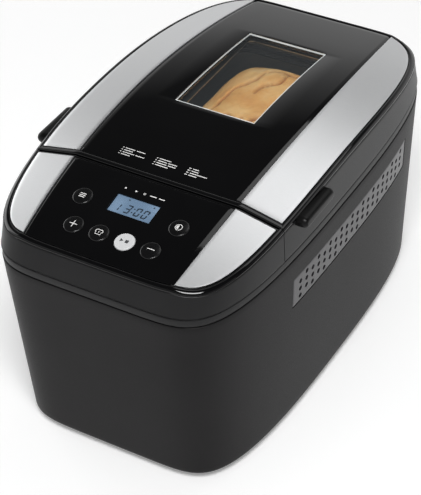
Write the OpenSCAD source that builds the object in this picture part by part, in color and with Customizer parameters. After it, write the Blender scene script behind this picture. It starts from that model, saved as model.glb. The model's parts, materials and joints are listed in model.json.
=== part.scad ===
// Household bread machine with a two-paddle pan under a hinged lid.
// Millimetres, +Z up, front towards -Y, origin under the middle of the body on the surface it stands on.

/* [Body] */
// Width of the body at the seam under the lid
body_w = 262; // [236:1:316]
// Depth of the body at the seam under the lid
body_d = 440; // [425:1:530]
// How much further out each side stands at the seam than at the foot
side_taper = 8; // [4:0.5:14]
// How much further out the front and back stand at the seam than at the foot
end_taper = 11.5; // [6:0.5:16]
// Height of the lower shell
shell_h = 189; // [175:1:230]
// Wall of the moulded shells
wall = 2.6; // [2:0.1:3.4]
// Height of the trim band between the lower shell and the lid
band_h = 8.6; // [6:0.2:12]
// Height of the rubber feet under the shell
foot_h = 6; // [4:0.5:10]
// Radius of a rubber foot
foot_r = 11; // [8:0.5:15]
// Gap between the shell and the pieces let into it
let_in_gap = 0.3; // [0.2:0.05:0.6]

/* [Upper housing] */
// Height of the crown of the lid above the trim band
crown_h = 52.9; // [46:0.1:66]
// How far the crown falls towards the front and back
crown_drop = 24.9; // [15:0.1:28]
// How much further out the seam stands than the rim, front and back
rim_lean = 7.7; // [4:0.1:10]
// Half width of the black middle panel at the crown
panel_half = 85.6; // [80:0.1:95]
// How much the middle panel narrows towards the front and back
panel_nip = 10.4; // [4:0.1:14]
// Fall of the silver flanks, in mm per mm outwards
flank_slope = 0.22; // [0.1:0.01:0.3]
// Distance from the front of the body to the split between console and lid
split_inset = 110.8; // [100:0.1:120]
// Gap between the lid and the console
lid_gap = 0.8; // [0.5:0.1:1.5]
// Gap between the lid and the trim band
lid_lift = 0.4; // [0.3:0.05:1]
// Width of the black rim around the panels
rim_width = 5; // [3:0.1:8]
// Depth of the recess that the panels lie in
recess = 2.4; // [2:0.1:3]
// Gap under the panels in the recess
panel_bed = 0.2; // [0.1:0.05:0.4]
// How far the silver panels stand above the black one
silver_rise = 1.2; // [0.4:0.1:2]
// Length of the finger grip on each side of the lid
grip_l = 54; // [40:1:70]
// How far a finger grip stands out from the lid
grip_out = 9; // [5:0.5:12]
// Height of a finger grip
grip_h = 11; // [8:0.5:12]

/* [Window] */
// Width of the lid window
window_w = 83; // [60:0.5:90]
// Length of the lid window
window_l = 140; // [100:1:150]
// Distance from the split to the front of the window
window_setback = 103.7; // [90:0.1:112]
// Ledge that the window glass rests on
window_ledge = 1.2; // [0.8:0.1:3]

/* [Console] */
// Radius of a round button
button_r = 9.3; // [7:0.1:10.5]
// Distance between neighbouring buttons in the front row
button_pitch = 26; // [23:0.1:28]
// Distance from the split to the front row of buttons
button_row = 71.6; // [68:0.1:74]
// Distance from the split to the rear pair of buttons
button_rear = 41; // [36:0.1:44]
// Half the distance between the rear pair of buttons
button_side = 49; // [40:0.1:52]
// How far a button travels
button_travel = 1.2; // [0.6:0.1:2]
// Gap around a button
button_gap = 0.3; // [0.15:0.05:0.5]
// Width of the display
display_w = 43.5; // [34:0.5:54]
// Depth of the display
display_d = 21; // [16:0.5:24]
// Distance from the split to the middle of the display
display_back = 36; // [32:0.1:40]

/* [Oven] */
// Width of the pan over its rim
pan_w = 128; // [104:1:156]
// Gap between the pan's rim and the oven's front and back walls
pan_gap = 16; // [14:0.5:20]
// Gap between the folded bail and the oven's side walls
bail_side = 3.8; // [3:0.1:6]
// How much narrower the pan is at its floor, each side
pan_draft = 5; // [3:0.5:9]
// Thickness of the pan's bail wire
bail_wire = 4.2; // [3:0.1:5]
// Room between the raised bail and the liner of the closed lid
bail_room = 2; // [1:0.1:4]
// Sheet of the pan
pan_t = 1.5; // [1.2:0.1:2]
// Sheet of the oven chamber
sheet = 1; // [0.8:0.1:1.4]
// Depth of the motor bay in front of the oven
bay_d = 137; // [130:1:140]
// Room between the oven and the back of the body
back_room = 50; // [46:1:60]
// Height of the oven floor above the base of the shell
oven_floor_h = 54; // [50:1:62]
// Height of the pan's floor above the oven floor
pan_floor_h = 22; // [20:0.5:26]
// How far the pan's rim stays below the trim band's top
pan_sink = 13.6; // [10:0.1:20]
// Radius of the tubular heating element
element_r = 3.3; // [2.5:0.1:4]
// How far the pan lifts to come off its seat and dogs
pan_lift = 10; // [8:0.5:11]

/* [Drive] */
// Radius of the drive shafts and paddle shafts
shaft_r = 4; // [3:0.1:5]
// Running clearance of a shaft in its bush
running = 0.05; // [0.02:0.01:0.1]
// Distance between the two paddle shafts
shaft_pitch = 110; // [96:1:120]
// Working radius of the large pulley
large_pulley_r = 40; // [32:0.5:42]
// Working radius of the two link pulleys
link_pulley_r = 18; // [14:0.5:22]
// Working radius of the motor pulley
motor_pulley_r = 8; // [7:0.1:9]
// Width of the pulleys between their flanges
pulley_h = 9; // [8:0.5:10]
// Thickness of the belts
belt_t = 1.5; // [1:0.1:2]
// Gap between a belt and its pulley
belt_gap = 0.3; // [0.2:0.05:0.5]
// Reach of a kneading paddle from its shaft
paddle_reach = 44; // [36:0.5:46]
// Radius of the motor's end bells
motor_r = 37; // [32:0.5:42]
// Height of the motor's stack of laminations
motor_stack = 40; // [30:1:50]

/* [Hinge] */
// Distance from the back of the body to the lid's pivot
hinge_inset = 17; // [16:0.1:18]
// Height of the lid's pivot above the trim band
hinge_rise = 14.4; // [14:0.1:16]
// Radius of the hinge barrel
barrel_r = 6; // [5:0.1:6.5]
// Radius of the hinge pins
pin_r = 2; // [1.5:0.1:2.5]
// Length of the hinge barrel, each side of the middle
barrel_half = 80; // [70:1:80]
// Width of a hinge knuckle
knuckle_w = 18; // [12:0.5:22]
// Distance from the middle to the centre of a knuckle
knuckle_x = 62; // [50:0.5:66]

/* [Hidden] */

$fn = 48;
eps = 0.01;
// Points around each moulded outline
ring_n = 96;
// Rows along a curved panel
rows = 22;

// Outlines: half width, half depth and the two exponents of the rounded plan curve
half_w = body_w / 2;
half_d = body_d / 2;
foot_w = half_w - side_taper;
foot_d = half_d - end_taper;
rim_w = half_w + 0.5;
rim_d = half_d - rim_lean;
side_pow = 7.1;
end_pow = 2.8;
rim_pow = 2.55;

// Levels
seam_z = foot_h + shell_h;
band_z = seam_z + band_h;
crown_z = band_z + crown_h;
floor_z = foot_h + oven_floor_h;
pan_z = floor_z + pan_floor_h;
rim_z = band_z - pan_sink;
plate_t = 2.2;
plate_z = foot_h + plate_t;

// Plan positions
split_y = split_inset - half_d;
oven_front = bay_d - half_d;
oven_back = half_d - back_room;
oven_mid = (oven_front + oven_back) / 2;
oven_half = (oven_back - oven_front) / 2;
pan_half = oven_half - pan_gap;
front_y = oven_mid - shaft_pitch / 2;
rear_y = oven_mid + shaft_pitch / 2;
motor_y = motor_r + 21 - foot_d;
window_y = split_y + window_setback + window_l / 2;
hinge_y = half_d - hinge_inset;
hinge_z = band_z + hinge_rise;

// The lid's liner lies under the cover, and the bail's pivot lies so low that the raised bail stays under the liner
liner_top = crown_z - 19;
wire_r = bail_wire / 2;
bail_clear = 1;
bail_rise = liner_top - bail_room - bail_wire - bail_clear - rim_z;
pivot_drop = (pow(pan_w / 2, 2) - pow(bail_rise, 2)) / (2 * bail_rise);
rivet_z = rim_z - pivot_drop;
bail_x = norm([pan_w / 2, pivot_drop]) + bail_clear + wire_r;
oven_w = bail_x + wire_r + bail_side;

// Crown: height of the middle panel along the body, and of the sloping flanks beside it
crown_tilt = 1.9;
crown_skew = 1.5;
function crown(y) = let(t = y / rim_d) crown_z + crown_tilt * t - crown_drop * t * t + crown_skew * pow(t, 3);
function panel_edge(y) = panel_half - panel_nip * pow(y / rim_d, 2);
function top_z(x, y) = crown(y) - flank_slope * max(0, abs(x) - panel_edge(y));
console_tilt = atan((crown(split_y - 30) - crown(split_y - 80)) / 50);

// Plan curves
function spow(v, e) = sign(v) * pow(abs(v), e);
function plan(a, b, n, m) = [
    for (i = [0:ring_n - 1])
        let(t = 360 * (i + 0.5) / ring_n) [a * spow(cos(t), 2 / n), b * spow(sin(t), 2 / m)]
];
function side_x(a, b, n, m, y) = a * pow(max(0, 1 - pow(min(1, abs(y) / b), m)), 1 / n);
function end_y(a, b, n, m, x) = b * pow(max(0, 1 - pow(min(1, abs(x) / a), n)), 1 / m);
function seam_plan(inset) = plan(half_w - inset, half_d - inset, side_pow, end_pow);
function rim_plan(inset) = plan(rim_w - inset, rim_d - inset, side_pow, rim_pow);
function lift(points, z) = [for (p = points) [p.x, p.y, z]];
function drape(points, drop) = [for (p = points) [p.x, p.y, top_z(p.x, p.y) - drop]];
function mix(a, b, q) = [for (i = [0:len(a) - 1]) a[i] * (1 - q) + b[i] * q];

// Shell outline at a height
function shell_at(z, inset) =
    let(q = (z - foot_h) / shell_h)
        plan(foot_w + side_taper * q - inset, foot_d + end_taper * q - inset, side_pow, end_pow);

// Closed band of quads through a loop of rings that all have the same number of points
module ring_body(rings) {
    n = len(rings[0]);
    m = len(rings);
    faces = [
        for (j = [0:m - 1], i = [0:n - 1])
            let(k = (j + 1) % m, l = (i + 1) % n, a = j * n + i, b = j * n + l, c = k * n + l, d = k * n + i)
                each [[a, c, b], [a, d, c]]
    ];
    polyhedron([for (r = rings) each r], faces);
}

// Plate with round corners, true arcs
module round_rect(x0, x1, y0, y1, r) {
    translate([x0 + r, y0]) square([x1 - x0 - 2 * r, y1 - y0]);
    translate([x0, y0 + r]) square([x1 - x0, y1 - y0 - 2 * r]);
    for (x = [x0 + r, x1 - r], y = [y0 + r, y1 - r]) translate([x, y]) circle(r);
}

module round_block(x0, x1, y0, y1, r, z0, z1) {
    translate([0, 0, z0]) linear_extrude(z1 - z0) round_rect(x0, x1, y0, y1, r);
}

// Block about the oven's middle: half width, half length, corner and two heights
module oven_block(a, b, r, z0, z1) {
    round_block(-a, a, oven_mid - b, oven_mid + b, r, z0, z1);
}

module tube(outer, inner, z0, z1) {
    translate([0, 0, z0]) difference() {
        cylinder(h = z1 - z0, r = outer);
        translate([0, 0, -1]) cylinder(h = z1 - z0 + 2, r = inner);
    }
}

module slab(x0, x1, y0, y1, z0, z1) {
    translate([x0, y0, z0]) cube([x1 - x0, y1 - y0, z1 - z0]);
}

module both_sides() {
    children();
    mirror([1, 0, 0]) children();
}

// ---- Lower body ----

shell_edge = 3.5;

// Vents let into the sides of the lower shell
vent_front = oven_front - 11;
vent_back = vent_front + 235;
vent_bottom = seam_z - 56;
vent_top = seam_z - 23;
vent_pitch = 11;
vent_hole_pitch = 8.4;
vent_hole_r = 2.1;

gland_x = 70;
gland_z = plate_z + 20;
gland_r = 8;
cord_r = 4;
gland_share = (gland_z - foot_h) / shell_h;
gland_y = end_y(foot_w + side_taper * gland_share, foot_d + end_taper * gland_share, side_pow, end_pow, gland_x);

module lower_shell() {
    color("#343333") difference() {
        ring_body([
            lift(shell_at(foot_h, shell_edge), foot_h),
            lift(shell_at(foot_h, 1.2), foot_h + 1.3),
            lift(shell_at(foot_h + 5, 0), foot_h + 5),
            lift(shell_at(seam_z, 0), seam_z),
            lift(shell_at(seam_z, wall), seam_z),
            lift(shell_at(foot_h + 6, wall), foot_h + 6),
            lift(shell_at(foot_h, shell_edge + wall), foot_h + 1.5),
            lift(shell_at(foot_h, shell_edge + wall), foot_h)
        ]);
        both_sides() slab(foot_w - 30, half_w + 5, vent_front - let_in_gap, vent_back + let_in_gap,
            vent_bottom - let_in_gap, vent_top + let_in_gap);
        translate([gland_x, foot_d - 30, gland_z]) rotate([-90, 0, 0]) cylinder(h = 50, r = gland_r);
    }
}

foot_x = foot_w - 32;
foot_y = foot_d - 48;
screw_x = foot_w - 24;
screw_y = foot_d - 80;
screw_places = [for (x = [-1, 1], y = [-1, 0, 1]) [x * screw_x, y * screw_y]];
foot_places = [for (x = [-1, 1], y = [-1, 1]) [x * foot_x, y * foot_y]];
foot_plug_r = 4;
screw_r = 1.75;

module base_plate() {
    color("#3a3a3b") difference() {
        translate([0, 0, foot_h]) linear_extrude(plate_t) polygon(shell_at(foot_h, shell_edge + wall + let_in_gap));
        for (p = foot_places) translate([p.x, p.y, 0]) cylinder(h = 20, r = foot_plug_r);
        for (p = screw_places) translate([p.x, p.y, 0]) cylinder(h = 20, r = screw_r);
        for (i = [-3:3]) slab(-30, 30, oven_mid + i * 14 - 2.5, oven_mid + i * 14 + 2.5, 0, 20);
    }
    color("#3a3a3b") for (p = screw_places)
        translate([p.x, p.y, 0]) tube(screw_r + 2.6, screw_r, plate_z, plate_z + 12);
}

module rubber_feet() {
    color("#1b1b1b") for (p = foot_places) translate([p.x, p.y, 0]) {
        cylinder(h = foot_h, r = foot_r);
        cylinder(h = plate_z, r = foot_plug_r);
        translate([0, 0, plate_z]) cylinder(h = 2, r = foot_plug_r + 1.5);
    }
}

module base_screws() {
    color("silver") for (p = screw_places) translate([p.x, p.y, 0]) {
        translate([0, 0, foot_h]) cylinder(h = 12, r = screw_r);
        translate([0, 0, foot_h - 2]) cylinder(h = 2, r = screw_r * 2);
    }
}

module trim_band() {
    color("#1d1d1e") translate([0, 0, seam_z + let_in_gap]) linear_extrude(band_h - let_in_gap) difference() {
        polygon(seam_plan(0.5));
        polygon(seam_plan(0.5 + wall));
    }
}

module side_vents() {
    columns = floor((vent_back - vent_front - 8) / vent_pitch);
    first = (vent_front + vent_back - (columns - 1) * vent_pitch) / 2;
    color("#4b4b4c") both_sides() difference() {
        intersection() {
            translate([0, 0, vent_bottom]) linear_extrude(vent_top - vent_bottom) difference() {
                polygon(shell_at(vent_top, 0.1));
                polygon(shell_at(vent_top, 2.1));
            }
            slab(half_w / 2, half_w + 10, vent_front, vent_back, 0, seam_z);
        }
        for (i = [0:columns - 1], j = [-1:1])
            translate([half_w / 2, first + i * vent_pitch,
                (vent_bottom + vent_top) / 2 + (j + (i % 2) / 2 - 0.25) * vent_hole_pitch])
                rotate([0, 90, 0]) cylinder(h = half_w, r = vent_hole_r, $fn = 8);
    }
}

module cord_gland() {
    color("#202020") translate([gland_x, gland_y, gland_z]) rotate([-90, 0, 0]) difference() {
        union() {
            translate([0, 0, -14]) cylinder(h = 16, r = gland_r);
            translate([0, 0, 2]) cylinder(h = 3, r = gland_r + 3);
            translate([0, 0, -14]) cylinder(h = 8, r = gland_r + 1.5);
        }
        translate([0, 0, -20]) cylinder(h = 40, r = cord_r);
    }
}

// ---- Oven ----

deck_t = 5;
deck_z = band_z - deck_t;
flange = 12;
chamber_top = deck_z - 0.2;
corner = 26;
dog_hole_r = 10;
element_z = pan_z + 6;
element_w = oven_w - element_r - 6;
element_half = oven_half - element_r - 6;
bend_r = 8;
terminal_x = 24;

module top_deck() {
    color("#2c2c2d") difference() {
        translate([0, 0, deck_z]) linear_extrude(deck_t) intersection() {
            polygon(seam_plan(0.5 + wall + let_in_gap));
            translate([-half_w, split_y + 3]) square([body_w, body_d]);
        }
        oven_block(oven_w + 1.5, oven_half + 1.5, corner + 1.5, deck_z - 1, band_z + 1);
    }
}

module oven_chamber() {
    color("#b9b9b4") difference() {
        union() {
            oven_block(oven_w + sheet, oven_half + sheet, corner + sheet, floor_z - sheet, chamber_top);
            oven_block(oven_w + flange, oven_half + flange, corner + flange, chamber_top - sheet, chamber_top);
        }
        oven_block(oven_w, oven_half, corner, floor_z, chamber_top + 1);
        for (y = [front_y, rear_y]) translate([0, y, floor_z - 5]) cylinder(h = 10, r = dog_hole_r);
        for (x = [-terminal_x, terminal_x]) translate([x, oven_front - 5, element_z])
            rotate([-90, 0, 0]) cylinder(h = 12, r = element_r + 1.2);
        translate([0, oven_front - 5, element_z + 24]) rotate([-90, 0, 0]) cylinder(h = 12, r = 4);
    }
}

// One straight run of the element between two points on a level line
module run(x0, y0, x1, y1) {
    length = norm([x1 - x0, y1 - y0]);
    translate([x0, y0, element_z]) rotate([0, 0, atan2(y1 - y0, x1 - x0)]) rotate([0, 90, 0])
        cylinder(h = length, r = element_r);
}

module bend(x, y, r, turn) {
    translate([x, y, element_z]) rotate([0, 0, turn]) rotate_extrude(angle = 90) translate([r, 0]) circle(element_r);
}

module heating_element() {
    back = oven_mid + element_half;
    front = oven_mid - element_half;
    color("#6f6a66") {
        both_sides() {
            run(element_w, front + corner, element_w, back - corner);
            bend(element_w - corner, back - corner, corner, 0);
            bend(element_w - corner, front + corner, corner, 270);
            run(terminal_x + bend_r, front, element_w - corner, front);
            bend(terminal_x + bend_r, front - bend_r, bend_r, 90);
            run(terminal_x, oven_front - 16, terminal_x, front - bend_r);
        }
        run(corner - element_w, back, element_w - corner, back);
    }
}

module element_clips() {
    color("#8c8c88") for (y = [front_y, rear_y]) both_sides() difference() {
        slab(element_w - 2, element_w + 2 + element_r, y - 5, y + 5, floor_z, element_z + element_r + 1.5);
        translate([element_w, y - 10, element_z]) rotate([-90, 0, 0]) cylinder(h = 20, r = element_r + 0.1);
    }
}

module temperature_probe() {
    color("#c9c9c6") translate([0, oven_front, element_z + 24]) rotate([-90, 0, 0]) {
        translate([0, 0, -12]) cylinder(h = 18, r = 3.9);
        translate([0, 0, 6]) sphere(3.9);
        translate([0, 0, -sheet - 3]) cylinder(h = 3, r = 8, $fn = 6);
    }
}

seat_w = 46;
seat_half = oven_half - 36;
seat_gap = 1;

module pan_seat() {
    color("#9a9a97") {
        difference() {
            oven_block(seat_w + seat_gap + 5, seat_half + seat_gap + 5, 23, floor_z, floor_z + 7);
            oven_block(seat_w + seat_gap, seat_half + seat_gap, 18, floor_z - 1, floor_z + 8);
        }
        both_sides() difference() {
            slab(seat_w + seat_gap + 1, seat_w + seat_gap + 4, oven_mid - 12, oven_mid + 12, floor_z + 6.9, floor_z + 17);
            translate([seat_w + seat_gap + 4.6, oven_mid - 20, floor_z + 14]) rotate([-90, 0, 0]) cylinder(h = 40, r = 2.4);
        }
    }
}

// ---- Drive ----

boss_r = 11;
bush_r = 7;
bush_bottom = floor_z - 17;
bush_top = floor_z - 2;
frame_z = floor_z - 14;
frame_t = 3;
leg_x = 55;
leg_r = 5;
pulley_flange = 1;
link_z = plate_z + 7;
belt_z = link_z + pulley_h + 2 * pulley_flange + 3;
bracket_z = floor_z - 8;
shaft_bottom = plate_z + 3;
dog_z = floor_z + 2;
leg_places = [for (x = [-leg_x, leg_x], y = [front_y - 24, rear_y + 24]) [x, y]];

module drive_frame() {
    color("#a3a5a6") difference() {
        union() {
            round_block(-leg_x - 8, leg_x + 8, front_y - 32, rear_y + 32, 8, frame_z, frame_z + frame_t);
            for (y = [front_y, rear_y]) translate([0, y, bush_bottom]) cylinder(h = bush_top - bush_bottom, r = boss_r);
            for (p = leg_places) translate([p.x, p.y, plate_z]) cylinder(h = frame_z - plate_z + 1, r = leg_r);
        }
        for (y = [front_y, rear_y]) translate([0, y, 0]) cylinder(h = 100, r = bush_r);
    }
}

module drive_bushes() {
    color("#b08a4a") for (y = [front_y, rear_y]) translate([0, y, 0]) tube(bush_r, shaft_r + running, bush_bottom, bush_top);
}

module drive_shaft(y) {
    color("#c4c6c8") translate([0, y, shaft_bottom]) cylinder(h = dog_z + 5 - shaft_bottom, r = shaft_r);
}

module front_drive_shaft() {
    drive_shaft(front_y);
}

module rear_drive_shaft() {
    drive_shaft(rear_y);
}

// Pulley of one step: rim between two thin flanges, on a hub bored for its shaft
module pulley(r, z, bore) {
    difference() {
        union() {
            translate([0, 0, z]) cylinder(h = pulley_h + 2 * pulley_flange, r = r);
            for (h = [z, z + pulley_h + pulley_flange])
                translate([0, 0, h]) cylinder(h = pulley_flange, r = r + belt_t + 1);
        }
        translate([0, 0, z - 1]) cylinder(h = pulley_h + 10, r = bore);
    }
}

module double_pulley() {
    color("#e4e2da") translate([0, front_y, 0]) {
        pulley(large_pulley_r, belt_z, shaft_r);
        pulley(link_pulley_r, link_z, shaft_r);
        tube(link_pulley_r - 4, shaft_r, link_z + 1, belt_z + 1);
    }
}

module rear_pulley() {
    color("#e4e2da") translate([0, rear_y, 0]) pulley(link_pulley_r, link_z, shaft_r);
}

// Driving dog: disc with two pegs that push the wing under the pan
wing_t = 5;
wing_half = 19;
wing_h = 6.6;
wing_z = dog_z + 7;
peg_r = 3;
peg_ring = 14;
peg_gap = 0.4;
peg_turn = asin((wing_t / 2 + peg_r + peg_gap) / peg_ring);

module drive_dog(y) {
    color("#8f9193") translate([0, y, 0]) {
        tube(8, shaft_r, dog_z, dog_z + 5);
        tube(wing_half, 8 - eps, dog_z + 2.5, dog_z + 5);
        for (a = [0, 180]) rotate([0, 0, a + peg_turn]) translate([peg_ring, 0, dog_z + 5 - eps])
            cylinder(h = 7, r = peg_r);
    }
}

module front_drive_dog() {
    drive_dog(front_y);
}

module rear_drive_dog() {
    drive_dog(rear_y);
}

// Loop of belt round two pulleys on the line x = 0
function arc(y, r, from, to) = [for (i = [0:24]) let(t = from + (to - from) * i / 24) [r * sin(t), y + r * cos(t)]];
function belt_loop(y0, r0, y1, r1, out) =
    let(b = acos((r0 - r1) / (y1 - y0))) concat(arc(y1, r1 + out, -b, b), arc(y0, r0 + out, b, 360 - b));

module belt(y0, r0, y1, r1, z) {
    color("#1a1a1a") translate([0, 0, z + pulley_flange + 1]) linear_extrude(pulley_h - 2) difference() {
        polygon(belt_loop(y0, r0, y1, r1, belt_gap + belt_t));
        polygon(belt_loop(y0, r0, y1, r1, belt_gap));
    }
}

module motor_belt() {
    belt(motor_y, motor_pulley_r, front_y, large_pulley_r, belt_z);
}

module link_belt() {
    belt(front_y, link_pulley_r, rear_y, link_pulley_r, link_z);
}

bracket_half = motor_r + 10;
bell_h = 15;
stack_z = bracket_z + 2.5 + bell_h;

module motor_bracket() {
    color("#b4b6b8") difference() {
        union() {
            translate([0, motor_y, 0])
                round_block(-bracket_half, bracket_half, -bracket_half, bracket_half, 8, bracket_z, bracket_z + 2);
            for (x = [-1, 1], y = [-1, 1])
                translate([x * (bracket_half - 8), motor_y + y * (bracket_half - 8), plate_z])
                    cylinder(h = bracket_z - plate_z + 1, r = 4.5);
        }
        translate([0, motor_y, bracket_z - 1]) cylinder(h = 5, r = 13);
    }
}

module motor_body() {
    top = stack_z + motor_stack + bell_h;
    translate([0, motor_y, 0]) {
        color("#9aa0a4") {
            tube(motor_r, shaft_r + running, bracket_z + 2.2, stack_z);
            tube(motor_r, shaft_r + running, stack_z + motor_stack, top);
        }
        color("#5b5f62") difference() {
            round_block(-motor_r - 5, motor_r + 5, -motor_r - 5, motor_r + 5, 6, stack_z, stack_z + motor_stack);
            translate([0, 0, stack_z - 1]) cylinder(h = motor_stack + 2, r = shaft_r + 1);
        }
    }
}

module motor_shaft() {
    color("#c4c6c8") translate([0, motor_y, belt_z - 3]) cylinder(h = stack_z + motor_stack + bell_h + 6 - belt_z, r = shaft_r);
}

module motor_pulley() {
    color("#d8d6ce") translate([0, motor_y, 0]) pulley(motor_pulley_r, belt_z, shaft_r);
}

// ---- Electrics ----

board_t = 1.6;

module power_board() {
    x = motor_r + 50;
    z = plate_z + 14;
    translate([x, motor_y, z]) {
        color("#2f5d3a") slab(0, board_t, -34, 34, 0, 84);
        color("#d9c23a") slab(-24, 0, -30, -4, 44, 78);
        color("#2a4f8f") slab(-17, 0, 6, 26, 52, 68);
        color("#303030") translate([-13, 14, 10]) cylinder(h = 32, r = 12.5);
        color("#e8e8e2") slab(-12, 0, -30, -8, 6, 18);
    }
}

// Frame of a console piece: on the crown at a distance in front of the split, tilted with the console
module on_console(x, back) {
    y = split_y - back;
    translate([x, y, crown(y) - recess]) rotate([console_tilt, 0, 0]) children();
}

board_drop = 15;
switch_h = 3.4;
switch_w = 6;
plunger_r = 1.7;
stem_r = 2.5;
stem_gap = 0.1;
button_places = [
    [-button_side, button_rear], [-1.5 * button_pitch, button_row], [-0.5 * button_pitch, button_row],
    [0.5 * button_pitch, button_row], [1.5 * button_pitch, button_row], [button_side, button_rear]
];

module control_board() {
    on_console(0, (button_row + button_rear) / 2) {
        color("#2f5d3a") slab(-66, 66, -28, 34, -board_drop - board_t, -board_drop);
        color("#303030") slab(-60, -44, -26, -18, -board_drop - 9, -board_drop - board_t);
        color("#e8e8e2") slab(30, 60, -26, -20, -board_drop - 8, -board_drop - board_t);
    }
    color("#303030") for (p = button_places) on_console(p.x, p[1]) translate([0, 0, -board_drop]) {
        slab(-switch_w / 2, switch_w / 2, -switch_w / 2, switch_w / 2, -0.6, switch_h - 1);
        cylinder(h = switch_h, r = plunger_r);
    }
}

module lcd_display() {
    on_console(0, display_back) {
        color("#9db7cf") slab(-display_w / 2 + 0.3, display_w / 2 - 0.3, -display_d / 2 + 0.3, display_d / 2 - 0.3,
            -2, recess - 1.1);
        color("#26282a") slab(-display_w / 2 - 4, display_w / 2 + 4, -display_d / 2 - 2, display_d / 2 + 3, -6, -1.9);
    }
}

// ---- Upper housing ----

window_half_w = window_w / 2;
window_half_l = window_l / 2;
function window_plan(inset) = [
    for (p = plan(window_half_w - inset, window_half_l - inset, 30, 30)) [p.x, p.y + window_y]
];
skirt_z = band_z + lid_lift;
floor_t = 2;

// Moulded wall, rim and recessed floor of the whole upper housing, with the window's opening
module upper_mould(bottom) {
    seam = lift(seam_plan(0), bottom);
    rim = drape(rim_plan(0), 0);
    top = drape(rim_plan(rim_width), recess);
    hole = drape(window_plan(window_ledge), recess);
    under = drape(rim_plan(rim_width), recess + floor_t);
    under_hole = drape(window_plan(window_ledge), recess + floor_t);
    plan_top = [for (p = top) [p.x, p.y]];
    plan_hole = [for (p = hole) [p.x, p.y]];
    ring_body([
        lift(seam_plan(wall), bottom),
        seam,
        mix(seam, rim, 0.94),
        drape(rim_plan(0.8), -0.6),
        drape(rim_plan(rim_width - 0.3), -0.6),
        top,
        drape(mix(plan_top, plan_hole, 0.3), recess),
        drape(mix(plan_top, plan_hole, 0.6), recess),
        hole,
        under_hole,
        drape(mix(plan_top, plan_hole, 0.6), recess + floor_t),
        drape(mix(plan_top, plan_hole, 0.3), recess + floor_t),
        under,
        mix(lift(seam_plan(wall), bottom), drape(rim_plan(wall + 0.4), recess + floor_t), 0.95)
    ]);
}

// Upright wall across the body at y, from the skirt to just under the crown
module cross_wall(y, bottom, drop) {
    x = side_x(rim_w, rim_d, side_pow, rim_pow, y) - 1.5;
    steps = 24;
    translate([0, y, 0]) rotate([90, 0, 0]) linear_extrude(wall, center = true)
        polygon(concat(
            [[x, bottom], [-x, bottom]],
            [for (i = [0:steps]) let(u = -x + 2 * x * i / steps) [u, top_z(u, y) - drop]]
        ));
}

// Bar across the body between y0 and y1 that follows the crown and the flanks
module cross_bar(y0, y1, under, over) {
    y = (y0 + y1) / 2;
    x = side_x(rim_w, rim_d, side_pow, rim_pow, y) - 1.5;
    us = [for (i = [0:24]) x * (i / 12 - 1)];
    translate([0, y, 0]) rotate([90, 0, 0]) linear_extrude(y1 - y0, center = true) polygon(concat(
        [for (u = us) [u, top_z(u, y) + over]],
        [for (i = [0:24]) let(u = us[24 - i]) [u, top_z(u, y) - under]]
    ));
}

// Curved plate on the crown between y0 and y1, from under to over the crown line
module crown_plate(y0, y1, over, under) {
    ys = [for (i = [0:rows]) y0 + (y1 - y0) * i / rows];
    rotate([90, 0, 90]) linear_extrude(body_w, center = true) polygon(concat(
        [for (y = ys) [y, crown(y) + over]],
        [for (i = [0:rows]) let(y = ys[rows - i]) [y, crown(y) - under]]
    ));
}

// Plan of the black middle panel between y0 and y1, with an end that follows the rim
function panel_plan(y0, y1, gap) =
    let(ys = [for (i = [0:rows]) y0 + (y1 - y0) * i / rows])
        concat([for (y = ys) [panel_edge(y) - gap, y]], [for (i = [0:rows]) let(y = ys[rows - i]) [gap - panel_edge(y), y]]);

module black_panel(y0, y1) {
    intersection() {
        crown_plate(y0, y1, 0, recess - panel_bed);
        linear_extrude(crown_z + 10) intersection() {
            polygon(panel_plan(y0, y1, 0.5));
            polygon(rim_plan(rim_width + 0.4));
        }
    }
}

// Silver panel on a sloping flank between y0 and y1: rows of four corners, inner and outer, top and bottom
module silver_panel(y0, y1) {
    outer = function(y) side_x(rim_w - rim_width - 0.4, rim_d - rim_width - 0.4, side_pow, rim_pow, y);
    ys = [for (i = [0:rows]) y0 + (y1 - y0) * i / rows];
    points = [
        for (y = ys) let(a = panel_edge(y) + 0.3, b = max(outer(y), a + 1.5))
            each [
                [a, y, top_z(a, y) + silver_rise], [b, y, top_z(b, y) + 0.6],
                [b, y, top_z(b, y) - recess + 2 * panel_bed], [a, y, top_z(a, y) - recess + 2 * panel_bed]
            ]
    ];
    sides = [
        for (i = [0:rows - 1], k = [0:3])
            let(a = 4 * i + k, b = 4 * i + (k + 1) % 4) each [[a, b, b + 4], [a, b + 4, a + 4]]
    ];
    last = 4 * rows;
    polyhedron(points, concat(sides, [[3, 2, 1, 0]], [[last, last + 1, last + 2, last + 3]]));
}

lid_front = split_y + lid_gap / 2;
console_back = split_y - lid_gap / 2;
panel_end = end_y(rim_w, rim_d, side_pow, rim_pow, panel_edge(rim_d)) - rim_width - 1;
lid_panel_front = lid_front + rim_width + 0.4;
console_panel_back = console_back - wall - 0.4;

module console_housing() {
    color("#19191a") {
        difference() {
            intersection() {
                upper_mould(band_z);
                slab(-half_w - 5, half_w + 5, -half_d - 5, console_back, band_z - 1, crown_z + 10);
            }
            slab(-button_side - 14, button_side + 14, split_y - button_row - 16, split_y - 20, band_z + 5, crown_z);
        }
        difference() {
            cross_wall(console_back - wall / 2, band_z, recess);
            slab(-button_side, button_side, split_y - 20, split_y + 5, band_z - 5, band_z + 8);
        }
        cross_bar(console_back - wall, console_back, recess + 1, 0);
    }
}

module console_panel() {
    color("#0b0b0c") difference() {
        black_panel(-rim_d + 1, console_panel_back);
        for (p = button_places) on_console(p.x, p[1]) translate([0, 0, -5]) cylinder(h = 12, r = button_r + button_gap);
        on_console(0, display_back) slab(-display_w / 2, display_w / 2, -display_d / 2, display_d / 2, -5, 8);
    }
}

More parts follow.
